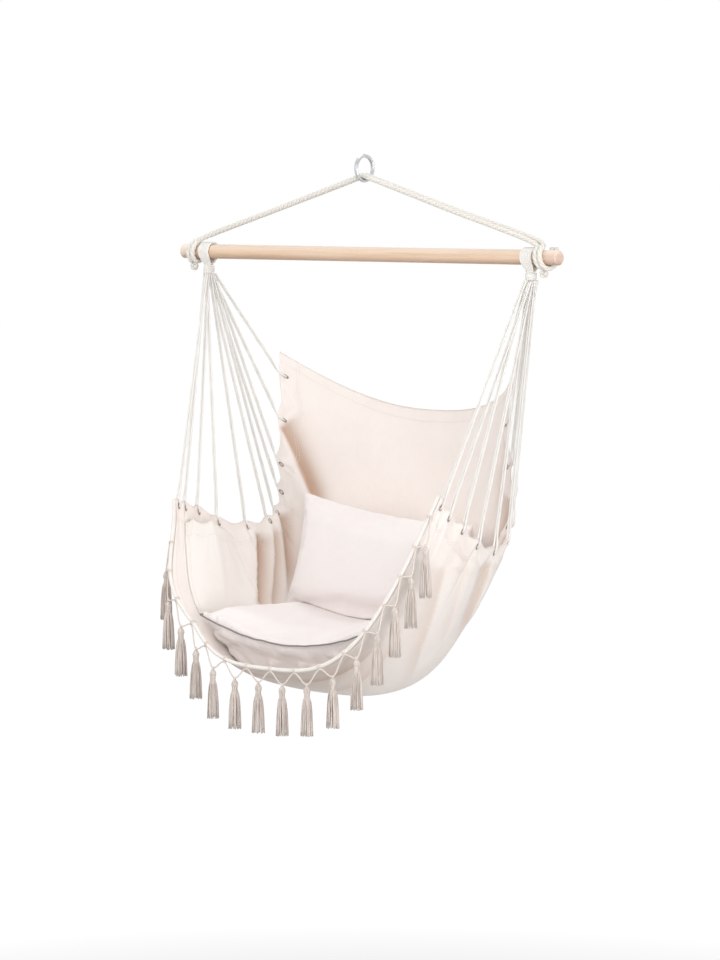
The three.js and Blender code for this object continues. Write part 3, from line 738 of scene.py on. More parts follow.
def drape(t, v):
    """How far the cloth stands out from its plain surface, in mm: puffs, ridges, ripples and folds."""
    t, v = np.broadcast_arrays(np.asarray(t, float), np.asarray(v, float))
    across = np.abs(t)
    at = cord_place(v)
    between = (1 - np.cos(TURN * at)) / 2
    puff = np.interp(at, np.arange(len(PUFFS)) + 0.5, PUFFS)
    out = PUFF_HEIGHT * puff * between * smooth(0.5, 0.92, across) * (1 - 0.6 * smooth(0.94, 1, across))
    tug = np.cos(TURN * at) * smooth(0.72, 0.9, across) * (1 - smooth(0.93, 0.985, across))
    ripple = np.sin(61 * v + 5 * t) * np.sin(17 * t + 9 * v) + 0.6 * np.sin(103 * v - 11 * t)
    out = out - TUG_DEPTH * tug + RIPPLE_HEIGHT * ripple * smooth(0.2, 0.6, across)
    for side, stop, shift, drift, height, width, end in PULLS:
        ridge = np.exp(-(((v - (stop + shift) - drift * (1 - across)) * STATION_RUN / width) ** 2))
        reach = smooth(end, end + 0.1, across) * (1 - smooth(0.955, 0.985, across))
        out = out + height * ridge * reach * (side * t > 0)
    off_cushion = np.maximum(smooth(0.5, 0.66, across), smooth(0.56, 0.68, v))
    return (out + fold_fields(t, v)[0] * (1 - 0.8 * smooth(0.95, 1, across))) * off_cushion


def skin(t, v, offset):
    """A point of the draped cloth, at an offset in mm outward from its inner face."""
    return canvas_point(t, v) + canvas_normal(t, v) * (np.asarray(offset) + drape(t, v))[..., None]


def hem_thickening(t, v):
    """How much thicker the cloth is in its turned hems, in mm."""
    here = canvas_point(t, v)
    bands = (
        (canvas_point(np.where(t < 0, -1.0, 1.0) * 0.999, v), HEM_BAND / 1.04),
        (canvas_point(t, np.zeros_like(v)), FRONT_BAND),
        (canvas_point(t, np.ones_like(v)), TOP_BAND),
    )
    near = np.min([np.linalg.norm(edge - here, axis=-1) / band for edge, band in bands], axis=0)
    return HEM_THICKENING * (1 - smooth(0.97, 1.03, near))


def make_canvas():
    columns, rows = 232, 300
    t, v = np.meshgrid(np.linspace(-1, 1, columns + 1), np.linspace(0, 1, rows + 1))
    flat = canvas_point(t, v)
    u_run, v_run = run_of(flat, 1), run_of(flat, 0)
    u_run -= u_run[:, columns // 2 : columns // 2 + 1]
    thick = hem_thickening(t, v)
    shape = Shape()
    shape.cloth(
        skin(t, v, -0.25 * thick),
        skin(t, v, CANVAS_THICKNESS + 0.5 * thick - 0.2),
        np.stack([u_run, v_run], axis=-1) * MM,
        flip=True,
    )
    piece = place(shape.piece("canvas_cloth", CANVAS), "seat", "canvas", "canvas_seat")
    # Painted shade: the folds' shade on both faces, and shade under the front of the seat on the outer face
    _, inside, outside = fold_fields(t, v)
    underside = (1 - smooth(0.06, 0.26, v)) * smooth(-0.95, -0.6, t) * (1 - smooth(0.3, 0.62, t))
    outside = np.minimum(outside + 0.3 * underside, 1)
    set_painted_shade(piece, np.concatenate([inside.ravel(), outside.ravel()]))
    corner = flat[:-1, :-1]
    area = np.sum(np.linalg.norm(np.cross(flat[1:, :-1] - corner, flat[:-1, 1:] - corner), axis=2))
    width = float(np.max(u_run[:, -1] - u_run[:, 0])) * MM
    length = float(np.max(v_run[-1])) * MM
    return piece, width, length, float(area) * MM**2


def sew(shape, line, outward, length, radius, start, ends, middle):
    """Stitches along a line of points, lifted off the cloth by one height at their ends and one between."""
    run = run_of(line)
    outward = np.broadcast_to(outward, line.shape)
    lift = np.array([ends, middle, middle, ends])[:, None]
    at = start
    while at + length < run[-1]:
        where = np.linspace(at, at + length, 4)
        shape.tube(read_at(where, run, line) + read_at(where, run, outward) * lift, radius, sides=5)
        at += length + STITCH_GAP


def hem_share(side, v, inset):
    """The t that lies an inset in mm inside the side hem."""
    probe = 0.93
    distance = np.linalg.norm(canvas_point(side, v) - canvas_point(side * probe, v), axis=-1)
    return side * (1 - (1 - probe) * inset / distance)


def make_stitching():
    """Two rows beside each side hem and one along the top and the front, on both faces."""
    v = np.linspace(0.004, 0.996, 500)
    rows = [(hem_share(side, v, inset), v) for side, _ in SIDES for inset in HEM_ROWS]
    t = np.linspace(-0.985, 0.985, 400)
    rows += [(t, np.full_like(t, station)) for station in EDGE_ROWS]
    shape = Shape()
    for t, v in rows:
        for offset, facing in ((-0.2, -1), (CANVAS_THICKNESS + 0.3, 1)):
            line, outward = skin(t, v, offset), facing * canvas_normal(t, v)
            sew(shape, line, outward, length=3.6, radius=0.45, start=0, ends=-0.25, middle=0.3)
    return place(shape.piece("hem_stitching", THREAD), "seat", "canvas")


# Ropes and cords


def slit_place(side, v):
    """A hem point, the slit inside it, the outward direction there and the slit's t."""
    edge = canvas_point(side, v)
    step = 1e-3
    per_step = np.linalg.norm(edge - canvas_point(side * (1 - step), v))
    t = side * (1 - SLIT_INSET / per_step * step)
    return edge, canvas_point(t, v), canvas_normal(t, v), t


def fan_route(side, index):
    """The doubled cord's two strands, from the whipping to the hem, through the slit and back."""
    edge, slit, outward, _ = slit_place(side, STOPS[index])
    back = len(STOPS) - 1 - index
    row = (len(STOPS) - 1) / 4 - back // 2
    column = 1 if back % 2 else -1
    pitch = 2 * CORD_RADIUS + 3 * CLEARANCE
    top = np.array([side * (EYE_X + column * pitch), row * pitch, WHIPPING_TOP - WHIPPING_HEIGHT - CLEARANCE])
    heading = unit(edge - top)
    top[2] -= CORD_RADIUS * math.hypot(heading[0], heading[1])
    middle = outward * CANVAS_THICKNESS / 2
    standoff = outward * (CANVAS_THICKNESS / 2 + 2 * CLEARANCE + CORD_RADIUS)
    pair_top = np.array([-1.0 if outward[0] < 0 else 1.0, 0, 0]) * pitch / 2
    pair_low = unit(pair_top - heading * np.dot(pair_top, heading)) * pitch / 2
    gathered = unit(top - edge) * CORD_GATHER

    def strand(sign):
        return [
            top + pair_top * sign,
            edge + gathered * CORD_STRAIGHT + pair_low * sign,
            edge + gathered + pair_low * sign,
            edge + middle + standoff * sign,
            slit + middle + standoff * sign,
        ]

    return strand(1) + strand(-1)[::-1]


def make_fan_cords():
    for side, word in SIDES:
        for index in range(len(STOPS)):
            node = f"fan_cord_{word}_{index + 1:02d}"
            route = fan_route(side, index)
            line = even_curve(route, 20 * (len(route) - 1), 4)
            lay = {"sides": 12, "plies": 3, "pitch": 13, "depth": 0.24}
            cord = cord_piece(node + "_twisted", CORD, line, CORD_RADIUS * 1.04, **lay)
            place(cord, "seat", "cotton", node)


def make_eyelets():
    """The buttonhole stitching round each slit, on both faces of the hem, in a dark thread that paints the
    slits' shadow.
    """
    stitches = 26
    half_width, half_length = 2.3, 5.2
    shape = Shape()
    for side, _ in SIDES:
        for stop in STOPS:
            edge, slit, outward, t = slit_place(side, stop)
            run = unit(edge - slit)
            width = np.cross(outward, run)
            for offset, facing in ((-0.9, -1), (CANVAS_THICKNESS + 0.7, 1)):
                middle = slit + outward * (offset + float(drape(t, stop)))
                for angle in np.linspace(0, TURN, stitches, endpoint=False):
                    out = width * math.cos(angle) * half_width + run * math.sin(angle) * half_length
                    inner, outer = middle + out * 0.8, middle + out * 1.22
                    crown = (inner + outer) / 2 + outward * 0.5 * facing
                    shape.tube([inner, crown, outer], 0.52, sides=5)
    return place(shape.piece("hem_eyelets", EYELET_THREAD_PAINTED_SHADOW), "seat", "cotton")


def make_suspension():
    """Two ropes, each coiled round the bar near both of its ends and led through the ring between them."""
    lane_spacing = 2 * (ROPE_RADIUS + CLEARANCE)
    wrap_radius = BAR_RADIUS + COIL_CLEARANCE + ROPE_RADIUS
    reach = RING_BORE - ROPE_RADIUS - CLEARANCE
    first, last = COIL_TURNS
    for lane, word in ((-1, "front"), (1, "rear")):
        lane_y = lane * lane_spacing / 2
        top_z = -RING_BORE - math.sqrt(reach**2 - lane_y**2)
        start = HITCH_X - (lane_spacing if lane < 0 else 0)
        end_x = start - 2 * ROPE_RADIUS
        end_z = BAR_Z + wrap_radius + ROPE_RADIUS + COIL_CLEARANCE
        fall = (top_z - end_z) / end_x
        right = [[x, lane_y, top_z - fall * x] for x in (2 * ROPE_RADIUS, end_x / 2, end_x)]
        for turned in np.linspace(first, last, 17):
            x = start + 2 * lane_spacing * (turned - first)
            y, z = -wrap_radius * math.sin(TURN * turned), wrap_radius * math.cos(TURN * turned)
            right.append([x, y, BAR_Z + z])
        left = [[-x, y, z] for x, y, z in right][::-1]
        line = even_curve(left + [[0, lane_y, top_z]] + right, 1600, 3)
        node = f"suspension_rope_{word}"
        lay = {"sides": 18, "plies": 3, "pitch": ROPE_LAY, "depth": 0.2}
        place(cord_piece(node + "_laid", ROPE, line, ROPE_RADIUS, **lay), "swing", "rope", node)


def knot_line(centre, size):
    """A small overhand knot, closed on itself."""
    a = np.linspace(0, TURN, 97)
    x = (np.sin(a) + 2 * np.sin(2 * a)) / 3
    y = -np.sin(3 * a) / 2.2
    z = (np.cos(a) - 2 * np.cos(2 * a)) / 3
    return centre + np.stack([x, y, z], axis=1) * size


def make_hitch_knots():
    """A knot that fills the box of its solid, less the rope's own thickness."""
    for _, word in SIDES:
        node = f"hitch_knot_{word}"
        low, high = (np.array(corner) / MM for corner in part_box(node))
        line = knot_line((low + high) / 2, (high - low) / 2 - (2.6, 2.2, 2.2))
        lay = {"sides": 12, "plies": 3, "pitch": 22, "depth": 0.3, "capped": False}
        place(cord_piece(node + "_tied", ROPE, line, 3.4, **lay), "swing", "rope", node)


def make_eye_loops():
    """Strands side by side over the bar, gathered towards the whipping below it."""
    strands = 7
    pitch = EYE_BAND / strands
    half = EYE_THICKNESS / 2
    radius = BAR_RADIUS + CLEARANCE + half
    throat = (half + CLEARANCE, -EYE_THROAT)
    touch = math.atan2(throat[1], throat[0]) + math.acos(radius / math.hypot(*throat))
    over = [(radius * math.cos(a), radius * math.sin(a)) for a in np.linspace(touch, math.pi - touch, 15)]
    outline = [throat, *over, (-throat[0], throat[1])]
    for side, word in SIDES:
        shape = Shape()
        for i in range(strands):
            across = (i - (strands - 1) / 2) * pitch * 0.98
            points = []
            for y, z in outline:
                gathered = 1 - 0.42 * float(smooth(-6, -EYE_THROAT, z))
                points.append([side * EYE_X + across * gathered, y, BAR_Z + z])
            line = even_curve(points, 160, 2)
            shape.tube(line, pitch / 2 + 0.12, sides=10, plies=3, pitch=12, depth=0.2)
        place(shape.piece(f"eye_loop_{word}_strands", CORD), "seat", "cotton", f"eye_loop_{word}")


def make_whippings():
    """Six turns of cord round a core."""
    turns = 6
    radius = WHIPPING_HEIGHT / turns / 2
    reach = WHIPPING_RADIUS - radius
    turned = np.linspace(0, turns, turns * 28 + 1)
    core_radius = WHIPPING_RADIUS * 0.86
    bottom = WHIPPING_TOP - WHIPPING_HEIGHT
    core = [(0.01, WHIPPING_TOP - 0.4), (core_radius, WHIPPING_TOP - 0.6), (core_radius, bottom + 0.6)]
    core += [(0.01, bottom + 0.4)]
    for side, word in SIDES:
        x = side * EYE_X + reach * np.cos(TURN * turned)
        y = reach * WHIPPING_STRETCH * np.sin(TURN * turned)
        z = WHIPPING_TOP - radius - (WHIPPING_HEIGHT - 2 * radius) * turned / turns
        shape = Shape()
        shape.tube(np.stack([x, y, z], axis=1), radius * 1.04, sides=8, plies=2, pitch=6, depth=0.2)
        shape.lathe(core, (side * EYE_X, 0, 0), sides=20, stretch=WHIPPING_STRETCH)
        place(shape.piece(f"whipping_{word}_wound", CORD), "seat", "cotton", f"whipping_{word}")


# The front edge


def edge_samples():
    """Points of the front edge, the directions past it and outward, and distances from its middle."""
    t = np.linspace(-1, 1, 161)
    v = np.zeros_like(t)
    outward = canvas_normal(t, v)
    point = canvas_point(t, v) + outward * CANVAS_THICKNESS / 2
    past = unit(canvas_point(t, v) - canvas_point(t, v + 0.01))
    run = run_of(point)
    return point, past, outward, run - run[-1] / 2


EDGE_POINTS, EDGE_PAST, EDGE_OUTWARD, EDGE_RUN = edge_samples()
ROPE_PAST = EDGE_ROPE_RADIUS + 4 * CLEARANCE
TIE_OUT = EDGE_ROPE_RADIUS + FRINGE_RADIUS + CLEARANCE


def beside_edge(distance, past, outward):
    """A place at a distance along the front edge, some way past it and outward from it."""
    point, ahead, out = (read_at(distance, EDGE_RUN, row) for row in (EDGE_POINTS, EDGE_PAST, EDGE_OUTWARD))
    return point + unit(ahead) * past + unit(out) * outward


def make_front_rope():
    reach = EDGE_RUN[-1] - EDGE_ROPE_RADIUS
    points = [beside_edge(distance, ROPE_PAST, 0) for distance in np.linspace(-reach, reach, 27)]
    line = even_curve(points, 500, 3)
    lay = {"sides": 16, "plies": 4, "pitch": 26, "depth": 0.2}
    rope = cord_piece("front_edge_rope_laid", EDGE_ROPE, line, EDGE_ROPE_RADIUS, **lay)
    place(rope, "seat", "rope", "front_edge_rope")


def tassel_places():
    """Each tassel's distance along the edge, and the knot that it hangs from."""
    places = []
    for i in range(TASSEL_COUNT):
        distance = (i - (TASSEL_COUNT - 1) / 2 + TASSEL_LEAD) * TASSEL_SPACING
        ahead, here = (beside_edge(distance + k, 0, 0)[2] for k in (EDGE_ROPE_RADIUS, 0))
        steep = abs(ahead - here) / EDGE_ROPE_RADIUS
        knot = beside_edge(distance, ROPE_PAST, TIE_OUT + steep * FRINGE_OUT)
        knot[2] -= FRINGE_DROP
        places.append((distance, knot))
    return places


TASSELS = tassel_places()


def make_fringe():
    """The zigzag cord: one strand a side of each V, a turn round the front rope at each tie, a knot below."""
    ties = [TASSELS[0][0] - TASSEL_SPACING / 2] + [d + TASSEL_SPACING / 2 for d, _ in TASSELS]
    points = [beside_edge(ties[0], ROPE_PAST, TIE_OUT)]
    for tie, (_, knot) in zip(ties[1:], TASSELS):
        points += [knot, beside_edge(tie, ROPE_PAST, TIE_OUT)]
    shape = Shape()
    line = even_curve(points, 24 * (len(points) - 1), 2)
    shape.tube(line, FRINGE_RADIUS, sides=8, plies=2, pitch=9, depth=0.25)
    turned = np.linspace(0, 2, 37)[:, None]
    reach = EDGE_ROPE_RADIUS + 0.9
    for tie in ties:
        ahead, here = beside_edge(tie + 3, ROPE_PAST, 0), beside_edge(tie, ROPE_PAST, 0)
        along = unit(ahead - here)
        side = unit(np.cross(along, (0, 0, 1)))
        up = np.cross(side, along)
        round_rope = (side * np.cos(TURN * turned) + up * np.sin(TURN * turned)) * reach
        shape.tube(here + along * 2.2 * (turned - 1) + round_rope, 1.2, sides=6, plies=2, pitch=7, depth=0.2)
    for _, knot in TASSELS:
        shape.tube(knot_line(knot, (2.4, 1.6, 2.2)), 1.3, sides=8, capped=False)
    place(shape.piece("fringe_cord_knotted", TAUPE_CORD), "seat", "tassel_yarn", "fringe_cord")


def strand_line(rng, share, centre, top, neck):
    """One strand of a tassel: over its head, in at its neck and out to its skirt, with a sway of its own."""
    angle = TURN * (share + rng.random() / TASSEL_STRANDS)
    ring = rng.uniform(0.55, 1) ** 0.6
    reach = TASSEL_REACH * ring
    sway = rng.uniform(-0.8, 0.8)
    tip = top - TASSEL_LENGTH + rng.uniform(0, 7) * rng.random()
    out = np.array([math.cos(angle), math.sin(angle), 0])
    swirl = np.array([-math.sin(angle), math.cos(angle), 0])
    head = 0.6 + 0.4 * ring
    steps = (
        # how far out, height, and how many times the sway
        (1.5, top - 1.2, 0),
        (5.4 * head, top - 7, 0),
        (5.8 * head, top - 12, 0),
        (3.9 * ring, neck, 0),
        ((4.0 + 0.34 * reach) * ring, neck - 14, 1),
        (2.0 + 0.72 * reach, neck - 42, 2),
        (reach, tip, 3),
    )
    return curve([centre + out * far + (0, 0, z) + swirl * sway * times for far, z, times in steps], 16)


def make_tassels():
    """Strands with a band wound five times round the neck."""
    wound = np.linspace(0, 5, 71)
    for i, (_, knot) in enumerate(TASSELS):
        rng = random.Random(500 + i)
        top = knot[2] - FRINGE_RADIUS - CLEARANCE
        neck = top - TASSEL_NECK
        centre = np.array([knot[0], knot[1], 0])
        shape = Shape()
        for k in range(TASSEL_STRANDS):
            shape.tube(strand_line(rng, k / TASSEL_STRANDS, centre, top, neck), 0.95, sides=5)
        x, y = 4.9 * np.cos(TURN * wound), 4.9 * np.sin(TURN * wound)
        shape.tube(centre + np.stack([x, y, neck + 3.4 - 1.4 * wound], axis=1), 0.85, sides=6)
        node = f"tassel_{i + 1:02d}"
        place(shape.piece(node + "_strands", TASSEL_YARN), node, "tassel_yarn", node)


# The pocket


def make_pocket():
    """Two layers of cloth that stand off the canvas and gape at the top, with rows of stitches."""
    cells = POCKET_CELLS
    up, along = np.meshgrid(np.linspace(0, 1, cells + 1), np.linspace(0, 1, cells + 1))
    v = POCKET_V[0] + (POCKET_V[1] - POCKET_V[0]) * along
    t = -(POCKET_T[1] + (POCKET_T[0] - POCKET_T[1]) * (1 - up))
    swell = np.sin(math.pi * along) * up**POCKET_SWELL
    base = canvas_point(t, v)
    normal = canvas_normal(t, v)
    ripple = 1.2 * np.sin(9 * along + 3 * up) * swell
    lift = 0.7 + (POCKET_GAPE + POCKET_REST) * swell + ripple
    band = 0.6 * smooth(0.84, 0.87, up)

    def layer(offset):
        return base - normal * (lift + offset - drape(t, v))[..., None]

    run_u, run_v = run_of(base, 1), run_of(base, 0)
    inner = layer(1.4 + band)
    shape = Shape()
    shape.cloth(layer(-0.2 * band), inner, np.stack([run_u, run_v], axis=-1) * MM, flip=False)
    piece = place(shape.piece("arm_pocket_cloth", POCKET_CLOTH), "seat", "canvas", "arm_pocket")
    thread = Shape()
    rows = [line for k in POCKET_SEAMS for line in (inner[k], inner[cells - k], inner[:, k])]
    rows.append(inner[:, POCKET_HEM])
    facing = -normal[cells // 2, cells // 2]
    for line in rows:
        sew(thread, line, facing, length=3.4, radius=0.4, start=1, ends=-0.2, middle=0.35)
    place(thread.piece("pocket_stitching", THREAD), "seat", "canvas")


# The canvas under and behind the cushions


def hem_part(x, v):
    """The share of the hem's x at which x lies."""
    return np.minimum(np.abs(x) / catmull(HEM_POINTS[1], v)[..., 0], 1)


def station_where(x, value, axis, low, high):
    """Where the canvas passes through x and a value of y or z: its points there, with their t and v."""
    side = np.where(x < 0, -1.0, 1.0)
    low, high = np.full(x.shape, low), np.full(x.shape, high)
    for _ in range(20):
        v = (low + high) / 2
        short = canvas_at(side, hem_part(x, v), v)[..., axis] < value
        low, high = np.where(short, v, low), np.where(short, high, v)
    share = hem_part(x, low)
    return canvas_at(side, share, low), side * (1.5 - np.sqrt(2.25 - 2 * share)), low


def floor_place(x, y):
    """The height of the canvas's floor at x and y, in mm."""
    point, t, v = station_where(x, y, 1, 0.0, FLOOR_END)
    return point[..., 2], t, v


def wall_place(x, z):
    """How far back the canvas's rear wall stands at x and z, in mm."""
    point, t, v = station_where(x, z, 2, WALL_START, 1.0)
    return point[..., 1], t, v


def off_canvas(co, room=3.0):
    """Keeps points, in metres, a room in mm above the canvas's floor and in front of its wall."""
    x, y, z = co.T / MM
    ground, t, v = floor_place(x, y)
    z = np.where(v < FLOOR_END - 0.01, np.maximum(z, ground + room + np.maximum(0, -drape(t, v))), z)
    wall, t, v = wall_place(x, z)
    y = np.where(v > WALL_START + 0.01, np.minimum(y, wall - room - np.maximum(0, -drape(t, v)) * 1.2), y)
    return metres(x, y, z)


# Padded pieces, with coordinates in metres


def vectors(mesh, name="co"):
    values = np.zeros(len(mesh.vertices) * 3)
    mesh.vertices.foreach_get(name, values)
    return values.reshape(-1, 3)


def metres(x, y, z):
    """Points in metres from coordinates in mm."""
    return np.stack([x, y, z], axis=1) * MM


def set_coordinates(mesh, values):
    mesh.vertices.foreach_set("co", values.reshape(-1))
    mesh.update()


def evaluated_copy(piece, name):
    graph = bpy.context.evaluated_depsgraph_get()
    mesh = bpy.data.meshes.new_from_object(piece.evaluated_get(graph))
    mesh.name = name
    return mesh


def plain_copy(node, name):
    """The solid's mesh with its vertices joined, split finer without changing its form."""
    source = NODES[node].data
    co = vectors(source)
    grid = np.round(co * 1e6).astype(int)
    _, first, joined = np.unique(grid, axis=0, return_index=True, return_inverse=True)
    joined = joined.reshape(-1)
    faces = [[int(joined[i]) for i in face.vertices] for face in source.polygons]
    mesh = bpy.data.meshes.new(name)
    mesh.from_pydata(co[first].tolist(), [], [face for face in faces if len(set(face)) == len(face)])
    piece = linked(name, mesh)
    split = piece.modifiers.new("split", "SUBSURF")
    split.subdivision_type = "SIMPLE"
    split.levels = split.render_levels = 2
    piece.data = evaluated_copy(piece, name)
    piece.modifiers.clear()
    return piece


def relaxed(mesh, co, hold, rounds):
    """Evens the surface out between its neighbours, except where it is held."""
    edges = np.zeros(len(mesh.edges) * 2, int)
    mesh.edges.foreach_get("vertices", edges)
    a, b = edges.reshape(-1, 2).T
    count = np.bincount(np.concatenate([a, b]), minlength=len(co))[:, None]
    for _ in range(rounds):
        total = np.zeros_like(co)
        np.add.at(total, a, co[b])
        np.add.at(total, b, co[a])
        co = co + (total / np.maximum(count, 1) - co) * hold * 0.6
    return co


CLOTH_FRAMES = 20
CLOTH_PRESSURE = 4.0
CLOTH_SETTINGS = {
    "quality": 5,
    "mass": 0.2,
    "tension_stiffness": 20,
    "compression_stiffness": 20,
    "shear_stiffness": 8,
    "bending_stiffness": 0.4,
    "use_pressure": True,
    "uniform_pressure_force": CLOTH_PRESSURE,
}


def blown_up(piece, name, hold, cap):
    """Cloth filled by pressure from the piece's present shape, moved by no more than a cap in metres."""
    start = vectors(piece.data)
    cloth = piece.modifiers.new("cloth", "CLOTH")
    for key, value in CLOTH_SETTINGS.items():
        setattr(cloth.settings, key, value)
    cloth.settings.effector_weights.gravity = 0
    cloth.collision_settings.use_collision = False
    cloth.collision_settings.use_self_collision = False
    cloth.point_cache.frame_start, cloth.point_cache.frame_end = 1, CLOTH_FRAMES
    for number in range(1, CLOTH_FRAMES + 1):
        bpy.context.scene.frame_set(number)
    piece.data = evaluated_copy(piece, name)
    piece.modifiers.clear()
    bpy.context.scene.frame_set(1)
    move = vectors(piece.data) - start
    far = np.linalg.norm(move, axis=1, keepdims=True)
    return start + move * hold * np.minimum(1, cap / np.maximum(far, 1e-9))


def puckered(mesh, seam, seed):
    """Pulls the cloth in short puckers towards a seam line and adds soft wrinkles."""
    co = vectors(mesh)
    best, which = nearest(co, seam)
    at = run_of(seam)[which]
    rng = np.random.default_rng(seed)
    waves = sum(
        np.sin(TURN * at / pitch + rng.uniform(0, 6)) * size
        for pitch, size in ((0.019, 0.5), (0.034, 0.8), (0.055, 1.0))
    )
    pull = np.exp(-best / (PUCKER_REACH * MM))
    off_seam = 1 - np.exp(-((best / 0.008) ** 2))
    wander = np.array([noise.noise(Vector(p) * 9) + 0.5 * noise.noise(Vector(p) * 23) for p in co])
    out = PUCKER_DEPTH * MM * waves * pull * off_seam + WRINKLE_DEPTH * MM * wander * (1 - pull)
    set_coordinates(mesh, co + vectors(mesh, "normal") * out[:, None])


def inflated(node, cap, seam, before, after):
    """A padded form of the solid, filled within a cap in metres and held at its seam."""
    name = node + "_stuffed"
    piece = plain_copy(node, name)
    plain = vectors(piece.data)
    hold = smooth(0, SEAM_HOLD * MM, nearest(plain, seam)[0])[:, None]
    co = relaxed(piece.data, before(piece.data, plain), hold, 8)
    set_coordinates(piece.data, co)
    co = blown_up(piece, name, hold, cap)
    set_coordinates(piece.data, relaxed(piece.data, co, hold, 4))
    puckered(piece.data, seam, len(name))
    set_coordinates(piece.data, after(vectors(piece.data)))
    piece.data.polygons.foreach_set("use_smooth", [True] * len(piece.data.polygons))
    return piece


def box_projected_uvs(mesh):
    """UVs in metres, each face taken flat along its strongest direction, so that a weave has a true size."""
    layer = mesh.uv_layers.new(name="UVMap")
    values = []
    for face in mesh.polygons:
        drop = max(range(3), key=lambda k: abs(face.normal[k]))
        a, b = [k for k in range(3) if k != drop]
        for index in face.vertices:
            p = mesh.vertices[index].co
            values += [p[a], p[b]]
    layer.data.foreach_set("uv", values)


def upholstered(piece, body, node):
    box_projected_uvs(piece.data)
    piece.data.materials.append(UPHOLSTERY)
    finer = piece.modifiers.new("finer", "SUBSURF")
    finer.levels = finer.render_levels = 1
    place(piece, body, "upholstery", node)


def tree_of(mesh, co):
    return BVHTree.FromPolygons([tuple(p) for p in co], [tuple(face.vertices) for face in mesh.polygons])


def around(spot):
    """Places once round a square from -1 to 1, from the middle of its rear side, as spot(p, q) gives them."""
    corners = [(0, 1), (1, 1), (1, -1), (-1, -1), (-1, 1), (0, 1)]
    spans = 24
    return np.array([
        spot(p0 + (p1 - p0) * i / spans, q0 + (q1 - q0) * i / spans)
        for (p0, q0), (p1, q1) in zip(corners, corners[1:])
        for i in range(spans)
    ])


# The seat cushion, at p across and q along, both from -1 to 1


def seam_height(x, q):
    return BAR_Z - CUSHION_DROP + CUSHION_SAG * (x / (CUSHION_WIDTH / 2)) ** 2 - CUSHION_TILT * (q + 1)


def along_share(y):
    return np.clip((y - CUSHION_MIDDLE_Y) / (CUSHION_DEPTH / 2), -1, 1)


def cushion_seam(p, q, offset=0):
    """The seat cushion's seam, or a line at an offset outside it, in mm."""
    x = CUSHION_WIDTH / 2 * p - CUSHION_WAIST * p * (1 - q * q)
    z = seam_height(x, q)
    half = CUSHION_DEPTH / 2 - CUSHION_WAIST * (1 - p * p)
    if q > 0:
        wall = float(wall_place(np.array([x]), np.array([z]))[0][0])
        half = min(CUSHION_DEPTH / 2, wall - WALL_ROOM - CUSHION_MIDDLE_Y)
    return np.array([x + offset * p, CUSHION_MIDDLE_Y + half * q + offset * q, z])


CUSHION_RIM = around(cushion_seam)


def settled(mesh, co):
    """Draws the seat cushion's underside down on to the canvas that carries it."""
    x, y, z = co.T / MM
    q = along_share(y)
    seam = seam_height(x, q)
    ground = floor_place(x, y)[0] + CUSHION_REST
    inside = nearest(co[:, :2] / MM, CUSHION_RIM[:, :2])[0]
    reach = np.where(q < 0, *CUSHION_ROUNDING)
    rounding = np.sqrt(1 - (1 - np.clip((inside + 2) / reach, 0, 1)) ** 2)
    tree = tree_of(mesh, co)
    under = []
    for px, py, pz in co:
        hit = tree.ray_cast(Vector((px, py, pz - 0.4)), Vector((0, 0, 1)))[0]
        under.append((hit.z if hit else pz) / MM)
    stretch = np.clip((seam - ground) * rounding / np.maximum(seam - np.array(under), 4), 0.8, 5)
    z = np.where(z < seam, np.maximum(seam - (seam - z) * stretch, ground), seam + (z - seam) * 0.9)
    return metres(x, y, z)


def plumped(co):
    """Fills the top out beside the seam, crumples the sides, and keeps it all off the canvas."""
    x, y, z = co.T / MM
    above = z - seam_height(x, along_share(y))
    rim = CUSHION_RIM[CUSHION_RIM[:, 1] > SETBACK - CUSHION_FRONT + 20]
    inside = nearest(co[:, :2] / MM, rim[:, :2])[0]
    z = z + 9 * smooth(1, 22, inside) * (1 - smooth(50, 140, inside)) * smooth(-0.5, 3, above)
    out = np.array([noise.noise(Vector((px * 0.017, py * 0.017, pz * 0.045))) for px, py, pz in zip(x, y, z)])
    push = (9 * out + 3 * np.sin(out * 9)) * (1 - smooth(-6, 0, above)) * smooth(5, 16, -above)
    away = np.stack([x, y - CUSHION_MIDDLE_Y], axis=1)
    away /= np.maximum(np.linalg.norm(away, axis=1, keepdims=True), 1)
    return off_canvas(metres(x + away[:, 0] * push, y + away[:, 1] * push, z))


def make_seat_cushion():
    piece = inflated("seat_cushion", 0.012, CUSHION_RIM * MM, settled, plumped)
    x, y, z = vectors(piece.data).T / MM
    # Painted shade on the cushion's sides below its seam
    set_painted_shade(piece, 0.13 * (1 - smooth(-9, -1, z - seam_height(x, along_share(y)))))
    upholstered(piece, "cushion", "seat_cushion")
    return piece


def make_piping():
    """The cord along the seat cushion's seam, with a slight waver, coloured dark as a painted shadow line."""
    route = [*around(lambda p, q: cushion_seam(p, q, PIPING_OUT)), cushion_seam(0, 1, PIPING_OUT)]
    line = even_curve(route, 1200, 3)
    line[:, 2] += [1.4 * noise.noise(Vector((k * 0.11, 3.1, 0.7))) for k in range(len(line))]
    lay = {"sides": 10, "plies": 3, "pitch": 12, "depth": 0.12}
    cord = cord_piece("cushion_piping_cord", PIPING_PAINTED_SHADOW, line, PIPING_CORD, **lay)
    place(cord, "cushion", "piping", "cushion_piping")


# The back pillow


def pillow_seam(p, q):
    x = PILLOW_WIDTH / 2 * p - PILLOW_WAIST * p * (1 - q * q)
    sag = (PILLOW_WAIST if q > 0 else PILLOW_SAG) * (1 - p * p) * abs(q)
    slump = PILLOW_SLUMP * x * (q + 1) / 2
    rise = PILLOW_HEIGHT / 2 * (q + 1) - sag - slump
    return PILLOW_FOOT + (x, PILLOW_LEAN * rise, PILLOW_RISE * rise)


